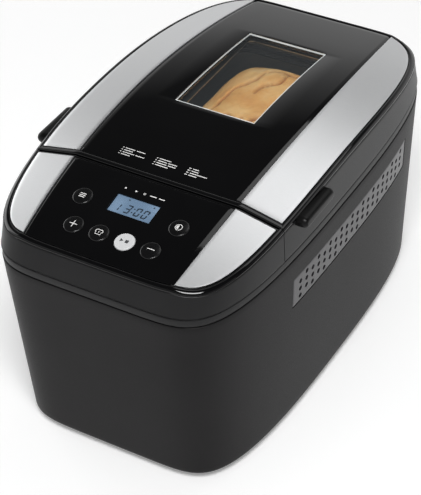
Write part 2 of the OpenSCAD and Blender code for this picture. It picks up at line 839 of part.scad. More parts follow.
module console_trims() {
    color("#c3c5c8") both_sides() silver_panel(-panel_end, console_panel_back);
}

module button(i) {
    cap = recess + 0.9;
    on_console(button_places[i].x, button_places[i][1]) {
        rotate_extrude() polygon([
            [0, -1.8], [button_r + 1.6, -1.8], [button_r + 1.6, -0.4], [button_r, -0.4],
            [button_r, cap - 1], [button_r - 0.35, cap - 0.3], [button_r - 1.2, cap],
            [button_r * 0.5, cap + 0.35], [0, cap + 0.45]
        ]);
        stem_low = switch_h + button_travel + stem_gap - board_drop;
        translate([0, 0, stem_low]) cylinder(h = -1.7 - stem_low, r = stem_r);
    }
}

module menu_button() {
    color("#141415") button(0);
}

module plus_button() {
    color("#141415") button(1);
}

module loaf_button() {
    color("#141415") button(2);
}

module start_button() {
    color("#c9cbcd") button(3);
}

module minus_button() {
    color("#141415") button(4);
}

module crust_button() {
    color("#141415") button(5);
}

// ---- Lid ----

grip_y = split_y + 18;
grip_z = band_z + 31.4;
grip_end = 8;
grip_root = half_w - 6;
notch_z = band_z + 19.4;
arm_pad_y = hinge_y - 15;

// Bar with round ends across the side wall, between two distances from the middle
module grip_bar(x0, x1, extra) {
    r = grip_h / 2 + extra;
    translate([x0, 0, 0]) rotate([90, 0, 90]) linear_extrude(x1 - x0) {
        translate([grip_y - extra + r, grip_z - r]) square([grip_l + 2 * extra - 2 * r, 2 * r]);
        for (y = [grip_y - extra + r, grip_y + grip_l + extra - r]) translate([y, grip_z]) circle(r);
    }
}

module lid_cover() {
    color("#19191a") {
        difference() {
            intersection() {
                upper_mould(skirt_z);
                slab(-half_w - 5, half_w + 5, lid_front, half_d + 5, band_z - 1, crown_z + 10);
            }
            slab(-half_w, half_w, hinge_y, half_d + 5, band_z - 5, notch_z);
            both_sides() grip_bar(grip_root - 1, half_w + grip_out, 0.1);
            for (p = lid_screw_places) translate([p.x, p.y, crown(p.y) - recess - floor_t - 1])
                cylinder(h = 5, r = screw_r + 0.1);
        }
        cross_wall(lid_front + wall / 2, skirt_z, recess);
        cross_bar(lid_front, lid_front + rim_width, recess + 1, 0.6);
    }
}

module lid_panel() {
    color("#101011") difference() {
        black_panel(lid_panel_front, rim_d - 1);
        linear_extrude(crown_z + 20) polygon(window_plan(-0.3));
    }
}

module lid_trims() {
    color("#c3c5c8") both_sides() silver_panel(lid_panel_front, panel_end);
}

module window_glass() {
    color("#aab4b8", 0.4) intersection() {
        crown_plate(window_y - window_half_l, window_y + window_half_l, -0.1, recess - panel_bed);
        linear_extrude(crown_z + 10) polygon(window_plan(0));
    }
}

// Sheet-metal liner: a dome over the oven with a flange that carries the seal
liner_w = oven_w + 7;
liner_half = oven_half + 5;
dome_w = oven_w - 5;
dome_front = oven_front + 3;
dome_back = oven_back - 5;
seal_w = oven_w + 9;
seal_half = oven_half + 7;

module dome(grow) {
    hull() {
        round_block(-liner_w - grow, liner_w + grow, oven_mid - liner_half - grow, oven_mid + liner_half + grow, 30,
            skirt_z + 2.4, skirt_z + 3.6, $fn = 32);
        round_block(-dome_w - grow, dome_w + grow, dome_front - grow, dome_back + grow, 16,
            liner_top - 1 + grow, liner_top + grow, $fn = 32);
    }
}

module lid_liner() {
    color("#bfc0bd") difference() {
        union() {
            dome(sheet);
            oven_block(liner_w + flange, liner_half + flange, 30, skirt_z + 2.4, skirt_z + 3.6);
        }
        dome(0);
        oven_block(liner_w, liner_half, 30, skirt_z, skirt_z + 2.6);
        round_block(-window_half_w - 2, window_half_w + 2, window_y - window_half_l - 2, window_y + window_half_l + 2, 6,
            liner_top - 5, liner_top + 5);
    }
}

module inner_glass() {
    color("#aab4b8", 0.4) round_block(-window_half_w - 8, window_half_w + 8,
        window_y - window_half_l - 8, window_y + window_half_l + 7, 8, liner_top + sheet + 0.2, liner_top + sheet + 3.4);
}

module lid_seal() {
    color("#5a5a58") difference() {
        oven_block(seal_w + 7, seal_half + 7, 34, band_z + 0.35, skirt_z + 2.4);
        oven_block(seal_w, seal_half, 28, band_z, skirt_z + 3);
    }
}

module lid_grips() {
    tip = half_w + grip_out;
    color("#0d0d0e") both_sides() intersection() {
        grip_bar(grip_root, tip, 0);
        translate([0, 0, grip_z - grip_h]) linear_extrude(2 * grip_h) {
            translate([grip_root, grip_y]) square([tip - grip_end - grip_root, grip_l]);
            translate([grip_root, grip_y + grip_end]) square([tip - grip_root, grip_l - 2 * grip_end]);
            for (y = [grip_y + grip_end, grip_y + grip_l - grip_end]) translate([tip - grip_end, y]) circle(grip_end);
        }
    }
}

lid_screw_places = [for (x = [-knuckle_x, knuckle_x]) [x, arm_pad_y + 5]];

module hinge_housing() {
    color("#1d1d1e") difference() {
        union() {
            slab(-barrel_half, barrel_half, hinge_y - barrel_r, hinge_y + 2.5, band_z, hinge_z);
            translate([-barrel_half, hinge_y, hinge_z]) rotate([0, 90, 0]) cylinder(h = 2 * barrel_half, r = barrel_r);
        }
        both_sides() slab(knuckle_x - knuckle_w / 2 - 0.4, knuckle_x + knuckle_w / 2 + 0.4, hinge_y - 20, hinge_y + 20,
            hinge_z - barrel_r - 1.5, hinge_z + 20);
        both_sides() translate([knuckle_x - knuckle_w / 2 - 8, hinge_y, hinge_z]) rotate([0, 90, 0])
            cylinder(h = knuckle_w + 20, r = pin_r);
    }
}

module hinge_pins() {
    color("#c4c6c8") both_sides() translate([knuckle_x - knuckle_w / 2 - 7, hinge_y, hinge_z]) rotate([0, 90, 0])
        cylinder(h = knuckle_w + 15, r = pin_r);
}

arm_roof = crown(hinge_y + 2) - recess - floor_t - 0.3;
arm_in = knuckle_x - knuckle_w / 2;
arm_out = knuckle_x + knuckle_w / 2;

module hinge_arms() {
    color("#a9abad") {
        both_sides() difference() {
            union() {
                translate([arm_in, hinge_y, hinge_z]) rotate([0, 90, 0]) cylinder(h = knuckle_w, r = barrel_r - 0.3);
                slab(arm_in, arm_out, hinge_y - 5, hinge_y + 2, hinge_z, arm_roof);
                slab(arm_in, arm_out, arm_pad_y, hinge_y + 2, arm_roof - 4, arm_roof);
                translate([knuckle_x, arm_pad_y + 5, arm_roof - 1])
                    cylinder(h = crown(arm_pad_y + 10) - recess - floor_t + 0.8 - arm_roof, r = 4.5);
            }
            translate([0, hinge_y, hinge_z]) rotate([0, 90, 0]) cylinder(h = 200, r = pin_r + running);
            translate([knuckle_x, arm_pad_y + 5, arm_roof - 10]) cylinder(h = 20, r = screw_r);
        }
    }
}

module lid_screws() {
    color("silver") for (p = lid_screw_places) translate([p.x, p.y, 0]) {
        translate([0, 0, arm_roof - 4]) cylinder(h = crown(p.y) - recess + 3.8 - arm_roof, r = screw_r);
        translate([0, 0, arm_roof - 6]) cylinder(h = 2, r = screw_r * 2);
    }
}

// ---- Pan ----

pan_top_w = pan_w / 2 - 3;
pan_top_half = pan_half - 3;
bearing_r = 8;
bearing_bottom = pan_z - 6;
bearing_top = pan_z + 11;
rivet_r = 2.5;
lug_y = pan_half + 2;
handle_y = pan_half + 5;

module tub(inset, z0, z1) {
    hull() {
        oven_block(pan_top_w - pan_draft - inset, pan_top_half - pan_draft - inset, 22 - inset, z0, z0 + 0.1, $fn = 32);
        oven_block(pan_top_w - inset, pan_top_half - inset, 26 - inset, z1 - 0.1, z1, $fn = 32);
    }
}

module bread_pan() {
    color("#55575a") difference() {
        union() {
            tub(0, pan_z, rim_z);
            oven_block(pan_w / 2, pan_half, 29, rim_z - 2.6, rim_z);
            for (y = [oven_mid - lug_y, oven_mid + lug_y - 8]) slab(-9, 9, y, y + 8, rivet_z - 9, rivet_z + 9);
        }
        tub(pan_t, pan_z + pan_t, rim_z + 0.2);
        oven_block(pan_top_w - pan_t, pan_top_half - pan_t, 24.5, rim_z - 0.2, rim_z + 5);
        for (y = [front_y, rear_y]) translate([0, y, pan_z - 1]) cylinder(h = 10, r = bearing_r);
        for (y = [oven_mid - lug_y - 1, oven_mid + lug_y - 5]) translate([0, y, rivet_z])
            rotate([-90, 0, 0]) cylinder(h = 6, r = rivet_r);
    }
}

module pan_base() {
    color("#8f9193") difference() {
        oven_block(seat_w, seat_half, 17, floor_z + 1, pan_z);
        oven_block(seat_w - 3, seat_half - 3, 14, floor_z, pan_z - 2.5);
        for (y = [front_y, rear_y]) translate([0, y, pan_z - 10]) cylinder(h = 20, r = bearing_r);
    }
}

module pan_bearings() {
    color("#b08a4a") for (y = [front_y, rear_y]) translate([0, y, 0])
        tube(bearing_r, shaft_r + running, bearing_bottom, bearing_top);
}

module handle_rivets() {
    color("#c4c6c8") for (turn = [0, 180]) translate([0, oven_mid, rivet_z]) rotate([0, 0, turn]) rotate([-90, 0, 0]) {
        translate([0, 0, lug_y - 5]) cylinder(h = handle_y + wire_r + 5.8 - lug_y, r = rivet_r);
        translate([0, 0, handle_y + wire_r + 0.8]) cylinder(h = 1.4, r = rivet_r + 1.8);
    }
}

// Bail handle folded flat beside the pan: two eyes, two arms and a bar with round corners
bail_bend = 7;

module bail_eye(y) {
    translate([0, y, 0]) rotate([-90, 0, 0]) difference() {
        translate([0, 0, -wire_r - 0.4]) cylinder(h = 2 * wire_r + 0.8, r = rivet_r + 2.4);
        translate([0, 0, -10]) cylinder(h = 20, r = rivet_r + running);
    }
}

module pan_handle() {
    arm = bail_x - bail_bend - rivet_r - 1.4;
    color("#b9bbbd") translate([0, oven_mid, rivet_z]) {
        for (s = [-1, 1]) {
            bail_eye(s * handle_y);
            translate([rivet_r + 1.4, s * handle_y, 0]) rotate([0, 90, 0]) cylinder(h = arm, r = wire_r);
            translate([bail_x - bail_bend, s * (handle_y - bail_bend), 0]) rotate([0, 0, s > 0 ? 0 : 270])
                rotate_extrude(angle = 90) translate([bail_bend, 0]) circle(wire_r);
        }
        translate([bail_x, bail_bend - handle_y, 0]) rotate([-90, 0, 0]) cylinder(h = 2 * (handle_y - bail_bend), r = wire_r);
    }
}

// ---- Kneading paddles ----

hub_r = 9;
hub_z = bearing_top + 0.6;
hub_h = 27;
blade_z = pan_z + pan_t + 2.5;
blade_t = 3;

module paddle(y, turn) {
    color("#4c4e50") translate([0, y, 0]) rotate([0, 0, turn]) difference() {
        union() {
            translate([0, 0, hub_z]) cylinder(h = hub_h, r = hub_r);
            hull() {
                slab(bearing_r + 1.5, paddle_reach, -blade_t, blade_t, blade_z, blade_z + 3);
                slab(hub_r - 2, paddle_reach - 22, -blade_t / 2, blade_t / 2, blade_z + 40, blade_z + 44);
                slab(hub_r - 2, paddle_reach - 4, -blade_t / 2, blade_t / 2, blade_z + 12, blade_z + 16);
            }
            translate([0, 0, hub_z]) rotate([0, 0, 180]) slab(hub_r - 2, hub_r + 9, -2, 2, 0, hub_h - 9);
        }
        translate([0, 0, blade_z - 5]) cylinder(h = 80, r = shaft_r + 2 * running);
        translate([0, 0, blade_z - 5]) cylinder(h = hub_z - blade_z + 5, r = bearing_r + 1);
    }
}

module paddle_shaft(y) {
    color("#c4c6c8") translate([0, y, 0]) {
        translate([0, 0, wing_z]) cylinder(h = hub_z + hub_h - 4 - wing_z, r = shaft_r);
        difference() {
            translate([0, 0, wing_z]) slab(-wing_half, wing_half, -wing_t / 2, wing_t / 2, 0, wing_h);
            translate([0, 0, wing_z - 1]) cylinder(h = 10, r = shaft_r - eps);
        }
        tube(7, shaft_r - eps, wing_z, wing_z + wing_h);
    }
}

module front_paddle() {
    paddle(front_y, 35);
}

module front_paddle_shaft() {
    paddle_shaft(front_y);
}

module rear_paddle() {
    paddle(rear_y, 215);
}

module rear_paddle_shaft() {
    paddle_shaft(rear_y);
}

lower_shell();
base_plate();
rubber_feet();
base_screws();
trim_band();
side_vents();
cord_gland();
top_deck();
oven_chamber();
heating_element();
element_clips();
temperature_probe();
pan_seat();
drive_frame();
drive_bushes();
motor_bracket();
motor_body();
motor_belt();
link_belt();
power_board();
control_board();
lcd_display();
console_housing();
console_panel();
console_trims();
hinge_housing();
hinge_pins();
motor_shaft();
motor_pulley();
front_drive_shaft();
double_pulley();
front_drive_dog();
rear_drive_shaft();
rear_pulley();
rear_drive_dog();
bread_pan();
pan_base();
pan_bearings();
handle_rivets();
pan_handle();
front_paddle();
front_paddle_shaft();
rear_paddle();
rear_paddle_shaft();
menu_button();
plus_button();
loaf_button();
start_button();
minus_button();
crust_button();
lid_cover();
lid_panel();
lid_trims();
window_glass();
lid_liner();
inner_glass();
lid_seal();
lid_grips();
hinge_arms();
lid_screws();
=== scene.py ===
import json
import math
import bpy
from mathutils import Matrix, Vector
from mathutils.noise import noise, fractal


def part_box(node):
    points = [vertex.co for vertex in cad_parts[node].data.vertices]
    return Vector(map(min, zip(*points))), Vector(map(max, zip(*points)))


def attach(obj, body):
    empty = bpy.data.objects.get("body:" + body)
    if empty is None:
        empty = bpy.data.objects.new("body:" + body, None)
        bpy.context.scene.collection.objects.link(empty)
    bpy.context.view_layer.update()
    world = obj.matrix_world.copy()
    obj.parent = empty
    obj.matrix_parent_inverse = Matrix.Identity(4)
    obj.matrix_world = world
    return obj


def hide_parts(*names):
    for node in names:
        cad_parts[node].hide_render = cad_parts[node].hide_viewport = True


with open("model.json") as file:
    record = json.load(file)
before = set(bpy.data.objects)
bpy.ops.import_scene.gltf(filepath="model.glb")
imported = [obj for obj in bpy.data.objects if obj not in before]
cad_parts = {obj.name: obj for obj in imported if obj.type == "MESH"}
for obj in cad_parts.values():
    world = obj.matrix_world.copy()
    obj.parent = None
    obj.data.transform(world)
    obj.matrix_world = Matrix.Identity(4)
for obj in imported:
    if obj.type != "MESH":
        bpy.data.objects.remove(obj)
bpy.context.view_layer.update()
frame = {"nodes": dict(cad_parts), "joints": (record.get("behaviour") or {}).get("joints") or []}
bpy.ops.object.select_all(action="DESELECT")
mm = 0.001


# Camera, studio and floor

view = {"from": (0.71784, -1.16734, 1.21697), "at": (0.00337, -0.02936, 0.11510), "roll": -2.987,
        "lens": 133.345, "sensor": 36.0, "near": 0.05, "far": 60}


def placeCamera():
    data = bpy.data.cameras.new("studio_camera")
    camera = bpy.data.objects.new("studio_camera", data)
    bpy.context.collection.objects.link(camera)
    data.lens = view["lens"]
    data.sensor_width = view["sensor"]
    data.clip_start = view["near"]
    data.clip_end = view["far"]
    look = Vector(view["at"]) - Vector(view["from"])
    turn = look.to_track_quat("-Z", "Y").to_matrix() @ Matrix.Rotation(math.radians(view["roll"]), 3, "Z")
    camera.matrix_world = Matrix.Translation(view["from"]) @ turn.to_4x4()
    bpy.context.scene.camera = camera


def softbox(name, place, target, size, watts):
    data = bpy.data.lights.new(name, "AREA")
    data.shape = "RECTANGLE"
    data.size, data.size_y = size
    data.energy = watts
    lamp = bpy.data.objects.new(name, data)
    bpy.context.collection.objects.link(lamp)
    lamp.location = place
    lamp.rotation_euler = (Vector(target) - Vector(place)).to_track_quat("-Z", "Y").to_euler()


placeCamera()
softbox("left_window_box", (-2.2, 0.3, 0.9), (0, 0, 0.15), (1.8, 1.3), 14)
softbox("overhead_box", (0.2, 1.3, 2.45), (0, 0, 0.15), (1.5, 1.5), 12)
softbox("window_key_box", (0.6, -0.95, 1.9), (0, 0.05, 0.2), (0.7, 0.7), 31)
print("camera and softboxes placed")


# Nodes and colours

def linear(hexColour):
    parts = [int(hexColour[i:i + 2], 16) / 255 for i in (1, 3, 5)]
    return tuple(c / 12.92 if c <= 0.04045 else ((c + 0.055) / 1.055) ** 2.4 for c in parts) + (1.0,)


def addNode(tree, kind, values=None, links=None, stops=(), **settings):
    node = tree.nodes.new(kind)
    for key, value in settings.items():
        setattr(node, key, value)
    for key, value in (values or {}).items():
        node.inputs[key].default_value = value
    for key, source in (links or {}).items():
        tree.links.new(source, node.inputs[key])
    if stops:
        elements = node.color_ramp.elements
        elements[0].position, elements[0].color = stops[0][0], linear(stops[0][1])
        elements[1].position, elements[1].color = stops[-1][0], linear(stops[-1][1])
        for place, colour in stops[1:-1]:
            elements.new(place).color = linear(colour)
    return node


def blankFinish(name, values=None):
    material = bpy.data.materials.new(name)
    material.use_nodes = True
    tree = material.node_tree
    tree.nodes.clear()
    shader = addNode(tree, "ShaderNodeBsdfPrincipled", values)
    addNode(tree, "ShaderNodeOutputMaterial", links={"Surface": shader.outputs[0]})
    return material, tree, shader, addNode(tree, "ShaderNodeTexCoord").outputs["Object"]


# What the finishes share: a colour, a roughness that wanders with the grain, and a relief of a depth in mm
def dress(tree, shader, colour, grain, rough, height=None, bump=0.0, depth=0.05):
    wander = addNode(tree, "ShaderNodeMapRange", {"From Min": 0.3, "From Max": 0.7, "To Min": rough[0],
                                                  "To Max": rough[1]}, {"Value": grain})
    tree.links.new(colour, shader.inputs["Base Color"])
    tree.links.new(wander.outputs[0], shader.inputs["Roughness"])
    if height is not None:
        relief = addNode(tree, "ShaderNodeBump", {"Strength": bump, "Distance": depth * mm}, {"Height": height})
        tree.links.new(relief.outputs[0], shader.inputs["Normal"])


# Moulded and rubber finishes: two close tones and a grain of a real size in mm
def mouldedFinish(name, darkTone, lightTone, grain, rough, bump, depth, specular=0.5):
    material, tree, shader, place = blankFinish(name, {"Specular IOR Level": specular})
    fine = addNode(tree, "ShaderNodeTexNoise", {"Scale": 1 / (grain * mm), "Detail": 3.0, "Roughness": 0.6},
                   {"Vector": place}).outputs[0]
    wide = addNode(tree, "ShaderNodeTexNoise", {"Scale": 18.0, "Detail": 2.0}, {"Vector": place}).outputs[0]
    tones = addNode(tree, "ShaderNodeValToRGB", None, {"Fac": wide}, [(0.3, darkTone), (0.7, lightTone)])
    dress(tree, shader, tones.outputs["Color"], fine, rough, fine, bump, depth)
    return material


# Metals: brushed or ground along one direction, as thin streaks in roughness and bump
def metalFinish(name, darkTone, lightTone, streaks, rough, bump, metallic=1.0):
    material, tree, shader, place = blankFinish(name, {"Metallic": metallic})
    mapping = addNode(tree, "ShaderNodeMapping", {"Scale": streaks}, {"Vector": place})
    lines = addNode(tree, "ShaderNodeTexNoise", {"Scale": 1.0, "Detail": 4.0, "Roughness": 0.65},
                    {"Vector": mapping.outputs[0]}).outputs[0]
    tones = addNode(tree, "ShaderNodeValToRGB", None, {"Fac": lines}, [(0.3, darkTone), (0.7, lightTone)])
    dress(tree, shader, tones.outputs["Color"], lines, rough, lines, bump)
    return material


# Spark-textured ABS of the outer casing: dull dark grey that lifts at a glancing angle
casingAbs = mouldedFinish("spark_textured_abs", "#0f0e0f", "#131213", 0.9, (0.42, 0.54), 0.25, 0.08, 0.15)
# The upper housing is the same ABS with a finer texture, so it looks a shade smoother
upperAbs = mouldedFinish("satin_moulded_abs", "#0f0f10", "#131314", 0.7, (0.34, 0.44), 0.18, 0.05, 0.24)
# The grilles are moulded in a lighter grey
grilleAbs = mouldedFinish("grille_abs", "#28272a", "#2f2e31", 0.8, (0.26, 0.34), 0.12, 0.05, 0.6)
# Mirror-polished ABS: nearly black, with the slight waviness of a moulding
glossAbs = mouldedFinish("polished_black_abs", "#040405", "#060607", 14.0, (0.04, 0.07), 0.03, 0.05, 0.4)
# Unpolished black moulding inside the machine
innerAbs = mouldedFinish("plain_black_moulding", "#161617", "#1d1d1e", 1.0, (0.5, 0.62), 0.2, 0.06)
gripAbs = mouldedFinish("deep_black_grip_abs", "#040404", "#070707", 0.7, (0.3, 0.4), 0.1, 0.04, 0.16)
# Soft natural rubber for feet and the lead's bush
footRubber = mouldedFinish("natural_rubber", "#101010", "#181818", 0.6, (0.7, 0.85), 0.3, 0.08, 0.35)
# Grey silicone seal
siliconeSeal = mouldedFinish("silicone_seal", "#575754", "#62625f", 1.2, (0.5, 0.62), 0.15, 0.05)
# Neoprene belts
beltRubber = mouldedFinish("neoprene_belt", "#131313", "#1a1a1a", 0.5, (0.65, 0.8), 0.3, 0.08)
# Natural nylon pulleys, slightly creamy
pulleyNylon = mouldedFinish("natural_nylon", "#cfcbbd", "#dad7ca", 1.5, (0.4, 0.5), 0.1, 0.04)
# Keycaps: black ABS with a silky touch, and one lacquered silver
keyBlack = mouldedFinish("silky_black_keycap", "#070708", "#0b0b0c", 0.8, (0.2, 0.26), 0.06, 0.03, 0.4)
keySilver = mouldedFinish("silver_lacquered_keycap", "#c8c9ca", "#d3d4d5", 0.8, (0.28, 0.36), 0.06, 0.03, 0.7)
# Pad-printed white ink, a little uneven
printInk = mouldedFinish("pad_printed_ink", "#d9d9d7", "#ecebe9", 0.5, (0.5, 0.62), 0.1, 0.02)
segmentInk = mouldedFinish("display_segment_ink", "#1b2733", "#22303d", 0.5, (0.4, 0.5), 0.05, 0.02)
darkPrint = mouldedFinish("pad_printed_dark_ink", "#3a3b3d", "#444547", 0.5, (0.5, 0.62), 0.1, 0.02)
# Satin silver foil on the flanks, brushed finely across
silverFoil = metalFinish("satin_silver_foil", "#d4d5d6", "#dadbdc", (240, 2600, 240), (0.34, 0.42), 0.02)
# Turned and ground steel, zinc plate, dull aluminised sheet, die castings, bronze and heat-stained tube
groundSteel = metalFinish("ground_steel", "#9c9ea1", "#b9bbbe", (900, 900, 120), (0.22, 0.36), 0.08)
zincPlate = metalFinish("zinc_plated_steel", "#9d9fa3", "#bcbec1", (700, 700, 700), (0.3, 0.42), 0.06)
aluminisedSheet = metalFinish("aluminised_sheet_steel", "#8d8d89", "#a6a6a1", (70, 70, 900), (0.36, 0.5), 0.08)
dieCasting = metalFinish("die_cast_alloy", "#76787a", "#8e9092", (500, 500, 500), (0.45, 0.6), 0.2)
sinteredBronze = metalFinish("sintered_bronze", "#8a6534", "#a57c44", (800, 800, 800), (0.4, 0.55), 0.2)
heaterTube = metalFinish("heat_stained_tube", "#3c332e", "#5a4d46", (300, 300, 300), (0.4, 0.55), 0.12)
motorEnamel = metalFinish("varnished_motor_steel", "#4b4e52", "#62666b", (60, 60, 2000), (0.35, 0.5), 0.15, 0.7)
print("plain finishes made")


# Non-stick coating: dark grey with fine pale specks, as sprayed PTFE has
def nonStickFinish():
    material, tree, shader, place = blankFinish("speckled_nonstick_coating")
    specks = addNode(tree, "ShaderNodeTexVoronoi", {"Scale": 420.0, "Randomness": 1.0}, {"Vector": place},
                     feature="F1").outputs["Distance"]
    mottled = addNode(tree, "ShaderNodeTexNoise", {"Scale": 90.0, "Detail": 3.0}, {"Vector": place}).outputs[0]
    dots = addNode(tree, "ShaderNodeMapRange", {"From Min": 0.12, "From Max": 0.3, "To Min": 1.0, "To Max": 0.0},
                   {"Value": specks}).outputs[0]
    ground = addNode(tree, "ShaderNodeValToRGB", None, {"Fac": mottled}, [(0.35, "#2a2b2d"), (0.65, "#38393b")])
    mixed = addNode(tree, "ShaderNodeMix", {7: linear("#6f7072")}, {"Factor": dots, 6: ground.outputs["Color"]},
                    data_type="RGBA")
    dress(tree, shader, mixed.outputs[2], mottled, (0.32, 0.45), dots, 0.2)
    return material


# Toughened glass, floated and cut: clear, so most of what is behind shows, with a thin ripple in its shine
def glassFinish(name, tint, haze, cover, rough):
    material, tree, shader, place = blankFinish(name, {"Alpha": cover, "IOR": 1.52})
    ripple = addNode(tree, "ShaderNodeTexNoise", {"Scale": 25.0, "Detail": 2.0}, {"Vector": place}).outputs[0]
    tones = addNode(tree, "ShaderNodeValToRGB", None, {"Fac": ripple}, [(0.3, tint), (0.7, haze)])
    dress(tree, shader, tones.outputs["Color"], ripple, (rough, rough * 1.5), ripple, 0.02, 0.2)
    return material


# Crust of a white loaf: golden in tones that vary at random, darkened in the cracks as painted shade, with a
# dusting of flour
def crustFinish():
    # The emission is painted light: the crust glows faintly in its own colour; the weak subsurface scattering is
    # the light that soaks through the crumb
    material, tree, shader, place = blankFinish("bread_crust", {
        "Emission Strength": 0.1, "Subsurface Weight": 0.08, "Subsurface Radius": (0.004, 0.002, 0.001)})
    blush = addNode(tree, "ShaderNodeTexNoise", {"Scale": 26.0, "Detail": 6.0, "Roughness": 0.6},
                    {"Vector": place}).outputs[0]
    crumb = addNode(tree, "ShaderNodeTexNoise", {"Scale": 420.0, "Detail": 4.0, "Roughness": 0.7},
                    {"Vector": place}).outputs[0]
    stretched = addNode(tree, "ShaderNodeMapping", {"Scale": (1.0, 0.35, 1.0)}, {"Vector": place})
    wrinkle = addNode(tree, "ShaderNodeTexNoise", {"Scale": 210.0, "Detail": 5.0, "Distortion": 1.2},
                      {"Vector": stretched.outputs[0]})
    depth = addNode(tree, "ShaderNodeAttribute", attribute_name="crackDepth").outputs["Fac"]
    golden = addNode(tree, "ShaderNodeValToRGB", None, {"Fac": blush}, [
        (0.28, "#dd9a4e"), (0.45, "#efb569"), (0.6, "#f9cb85"), (0.75, "#fddfac")])
    flour = addNode(tree, "ShaderNodeMapRange", {"From Min": 0.5, "From Max": 0.72, "To Max": 0.35},
                    {"Value": crumb}).outputs[0]
    dusted = addNode(tree, "ShaderNodeMix", {7: linear("#f4dcb4")},
                     {"Factor": flour, 6: golden.outputs["Color"]}, data_type="RGBA")
    # painted shade: the colour darkens towards deep brown as the crack deepens
    shadedInCracks = addNode(tree, "ShaderNodeMix", {7: linear("#9c5a20")}, {"Factor": depth, 6: dusted.outputs[2]},
                      data_type="RGBA").outputs[2]
    height = addNode(tree, "ShaderNodeMath", links={0: wrinkle.outputs[0], 1: crumb}, operation="ADD")
    dress(tree, shader, shadedInCracks, crumb, (0.55, 0.75), height.outputs[0], 0.5, 0.7)
    # painted light: the crust's own colour is also emitted
    tree.links.new(shadedInCracks, shader.inputs["Emission Color"])
    return material


# Liquid-crystal display: pale blue reflector behind glass, its tone varying at random, with a painted glow from a
# weak emission
def displayFinish():
    material, tree, shader, place = blankFinish("lcd_reflector", {"Emission Strength": 0.08})
    glow = addNode(tree, "ShaderNodeTexNoise", {"Scale": 30.0, "Detail": 1.0}, {"Vector": place}).outputs[0]
    tones = addNode(tree, "ShaderNodeValToRGB", None, {"Fac": glow}, [(0.3, "#647b93"), (0.7, "#7c94ad")])
    # painted glow: the reflector is no lamp, yet it emits light in these tones
    paintedGlow = addNode(tree, "ShaderNodeValToRGB", None, {"Fac": glow}, [(0.3, "#7189a3"), (0.7, "#8ca6c1")])
    dress(tree, shader, tones.outputs["Color"], glow, (0.15, 0.25))
    tree.links.new(paintedGlow.outputs["Color"], shader.inputs["Emission Color"])
    return material


# Circuit boards: green solder mask over a faint grid of tracks
def boardFinish():
    material, tree, shader, place = blankFinish("solder_mask_board")
    tracks = addNode(tree, "ShaderNodeTexBrick", {
        "Scale": 160.0, "Mortar Size": 0.03, "Color1": linear("#1f5a33"), "Color2": linear("#236339"),
        "Mortar": linear("#2f7a48")}, {"Vector": place})
    grain = addNode(tree, "ShaderNodeTexNoise", {"Scale": 300.0}, {"Vector": place})
    dress(tree, shader, tracks.outputs["Color"], grain.outputs[0], (0.3, 0.45))
    return material


# Seamless paper: nearly white with a faint tooth, and lit from under, as on a light table
def paperFinish():
    material, tree, shader, place = blankFinish("seamless_paper", {
        "Specular IOR Level": 0.2, "Emission Color": linear("#ffffff"), "Emission Strength": 0.2})
    tooth = addNode(tree, "ShaderNodeTexNoise", {"Scale": 900.0, "Detail": 2.0}, {"Vector": place}).outputs[0]
    tones = addNode(tree, "ShaderNodeValToRGB", None, {"Fac": tooth}, [(0.2, "#f3f3f3"), (0.8, "#f8f8f8")])
    dress(tree, shader, tones.outputs["Color"], tooth, (0.6, 0.75))
    return material


nonStick = nonStickFinish()
windowGlass = glassFinish("toughened_glass", "#6a6f72", "#74797c", 0.05, 0.02)
# Near-white frosted glass for the bevel faces: the ground edge's colour and a painted highlight
groundEdgePaintedHighlight = glassFinish("ground_glass_edge_painted_highlight", "#e6ecec", "#f2f6f6", 0.8, 0.25)
breadCrust = crustFinish()
lcdGlass = displayFinish()
circuitBoard = boardFinish()
paper = paperFinish()
print("glass, coating, display and bread finishes made")


# Studio: paper floor, and a sky that is white at the horizon and dark overhead
def makeStudio():
    bpy.ops.mesh.primitive_grid_add(x_subdivisions=8, y_subdivisions=8, size=14, location=(0, 0, -0.0005))
    floor = bpy.context.object  # half a millimetre under the feet
    floor.name = "paper_floor"
    floor.data.materials.append(paper)
    world = bpy.data.worlds.new("studio_sky")
    bpy.context.scene.world = world
    world.use_nodes = True
    tree = world.node_tree
    tree.nodes.clear()
    place = addNode(tree, "ShaderNodeTexCoord").outputs["Generated"]
    height = addNode(tree, "ShaderNodeSeparateXYZ", links={"Vector": place}).outputs["Z"]
    sky = addNode(tree, "ShaderNodeValToRGB", None, {"Fac": height}, [
        (0.0, "#ffffff"), (0.3, "#f0f0f0"), (0.44, "#b4b4b4"), (0.6, "#505050"), (1.0, "#505050")])
    surface = addNode(tree, "ShaderNodeBackground", {"Strength": 1.0}, {"Color": sky.outputs["Color"]})
    addNode(tree, "ShaderNodeOutputWorld", links={"Surface": surface.outputs[0]})
    bpy.context.scene.view_settings.view_transform = "Standard"


makeStudio()


# Body curves: the plan is a rounded outline, half width a, half depth b, with a power for each direction
body = {"sidePower": 7.1, "endPower": 2.8, "rimPower": 2.55, "sideTaper": 8 * mm, "endTaper": 11.5 * mm,
        "crownFall": 24.9 * mm, "crownTilt": 1.9 * mm, "crownSkew": 1.5 * mm, "flankSlope": 0.22,
        "panelHalf": 85.6 * mm, "panelNip": 10.4 * mm, "rimOver": 0.5 * mm, "rimLean": 7.7 * mm,
        "rimWidth": 5 * mm, "recess": 2.4 * mm, "wall": 2.6 * mm, "lidLift": 0.4 * mm}
shellLow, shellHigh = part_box("lower_shell")
footZ, seamZ = shellLow.z, shellHigh.z
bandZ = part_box("trim_band")[1].z
seamHalfWidth, seamHalfDepth = 131 * mm, 220 * mm
rimHalfWidth = seamHalfWidth + body["rimOver"]
rimHalfDepth = seamHalfDepth - body["rimLean"]
crownZ = bandZ + 52.9 * mm
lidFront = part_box("lid_cover")[0].y
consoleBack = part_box("console_housing")[1].y
splitY = (lidFront + consoleBack) / 2
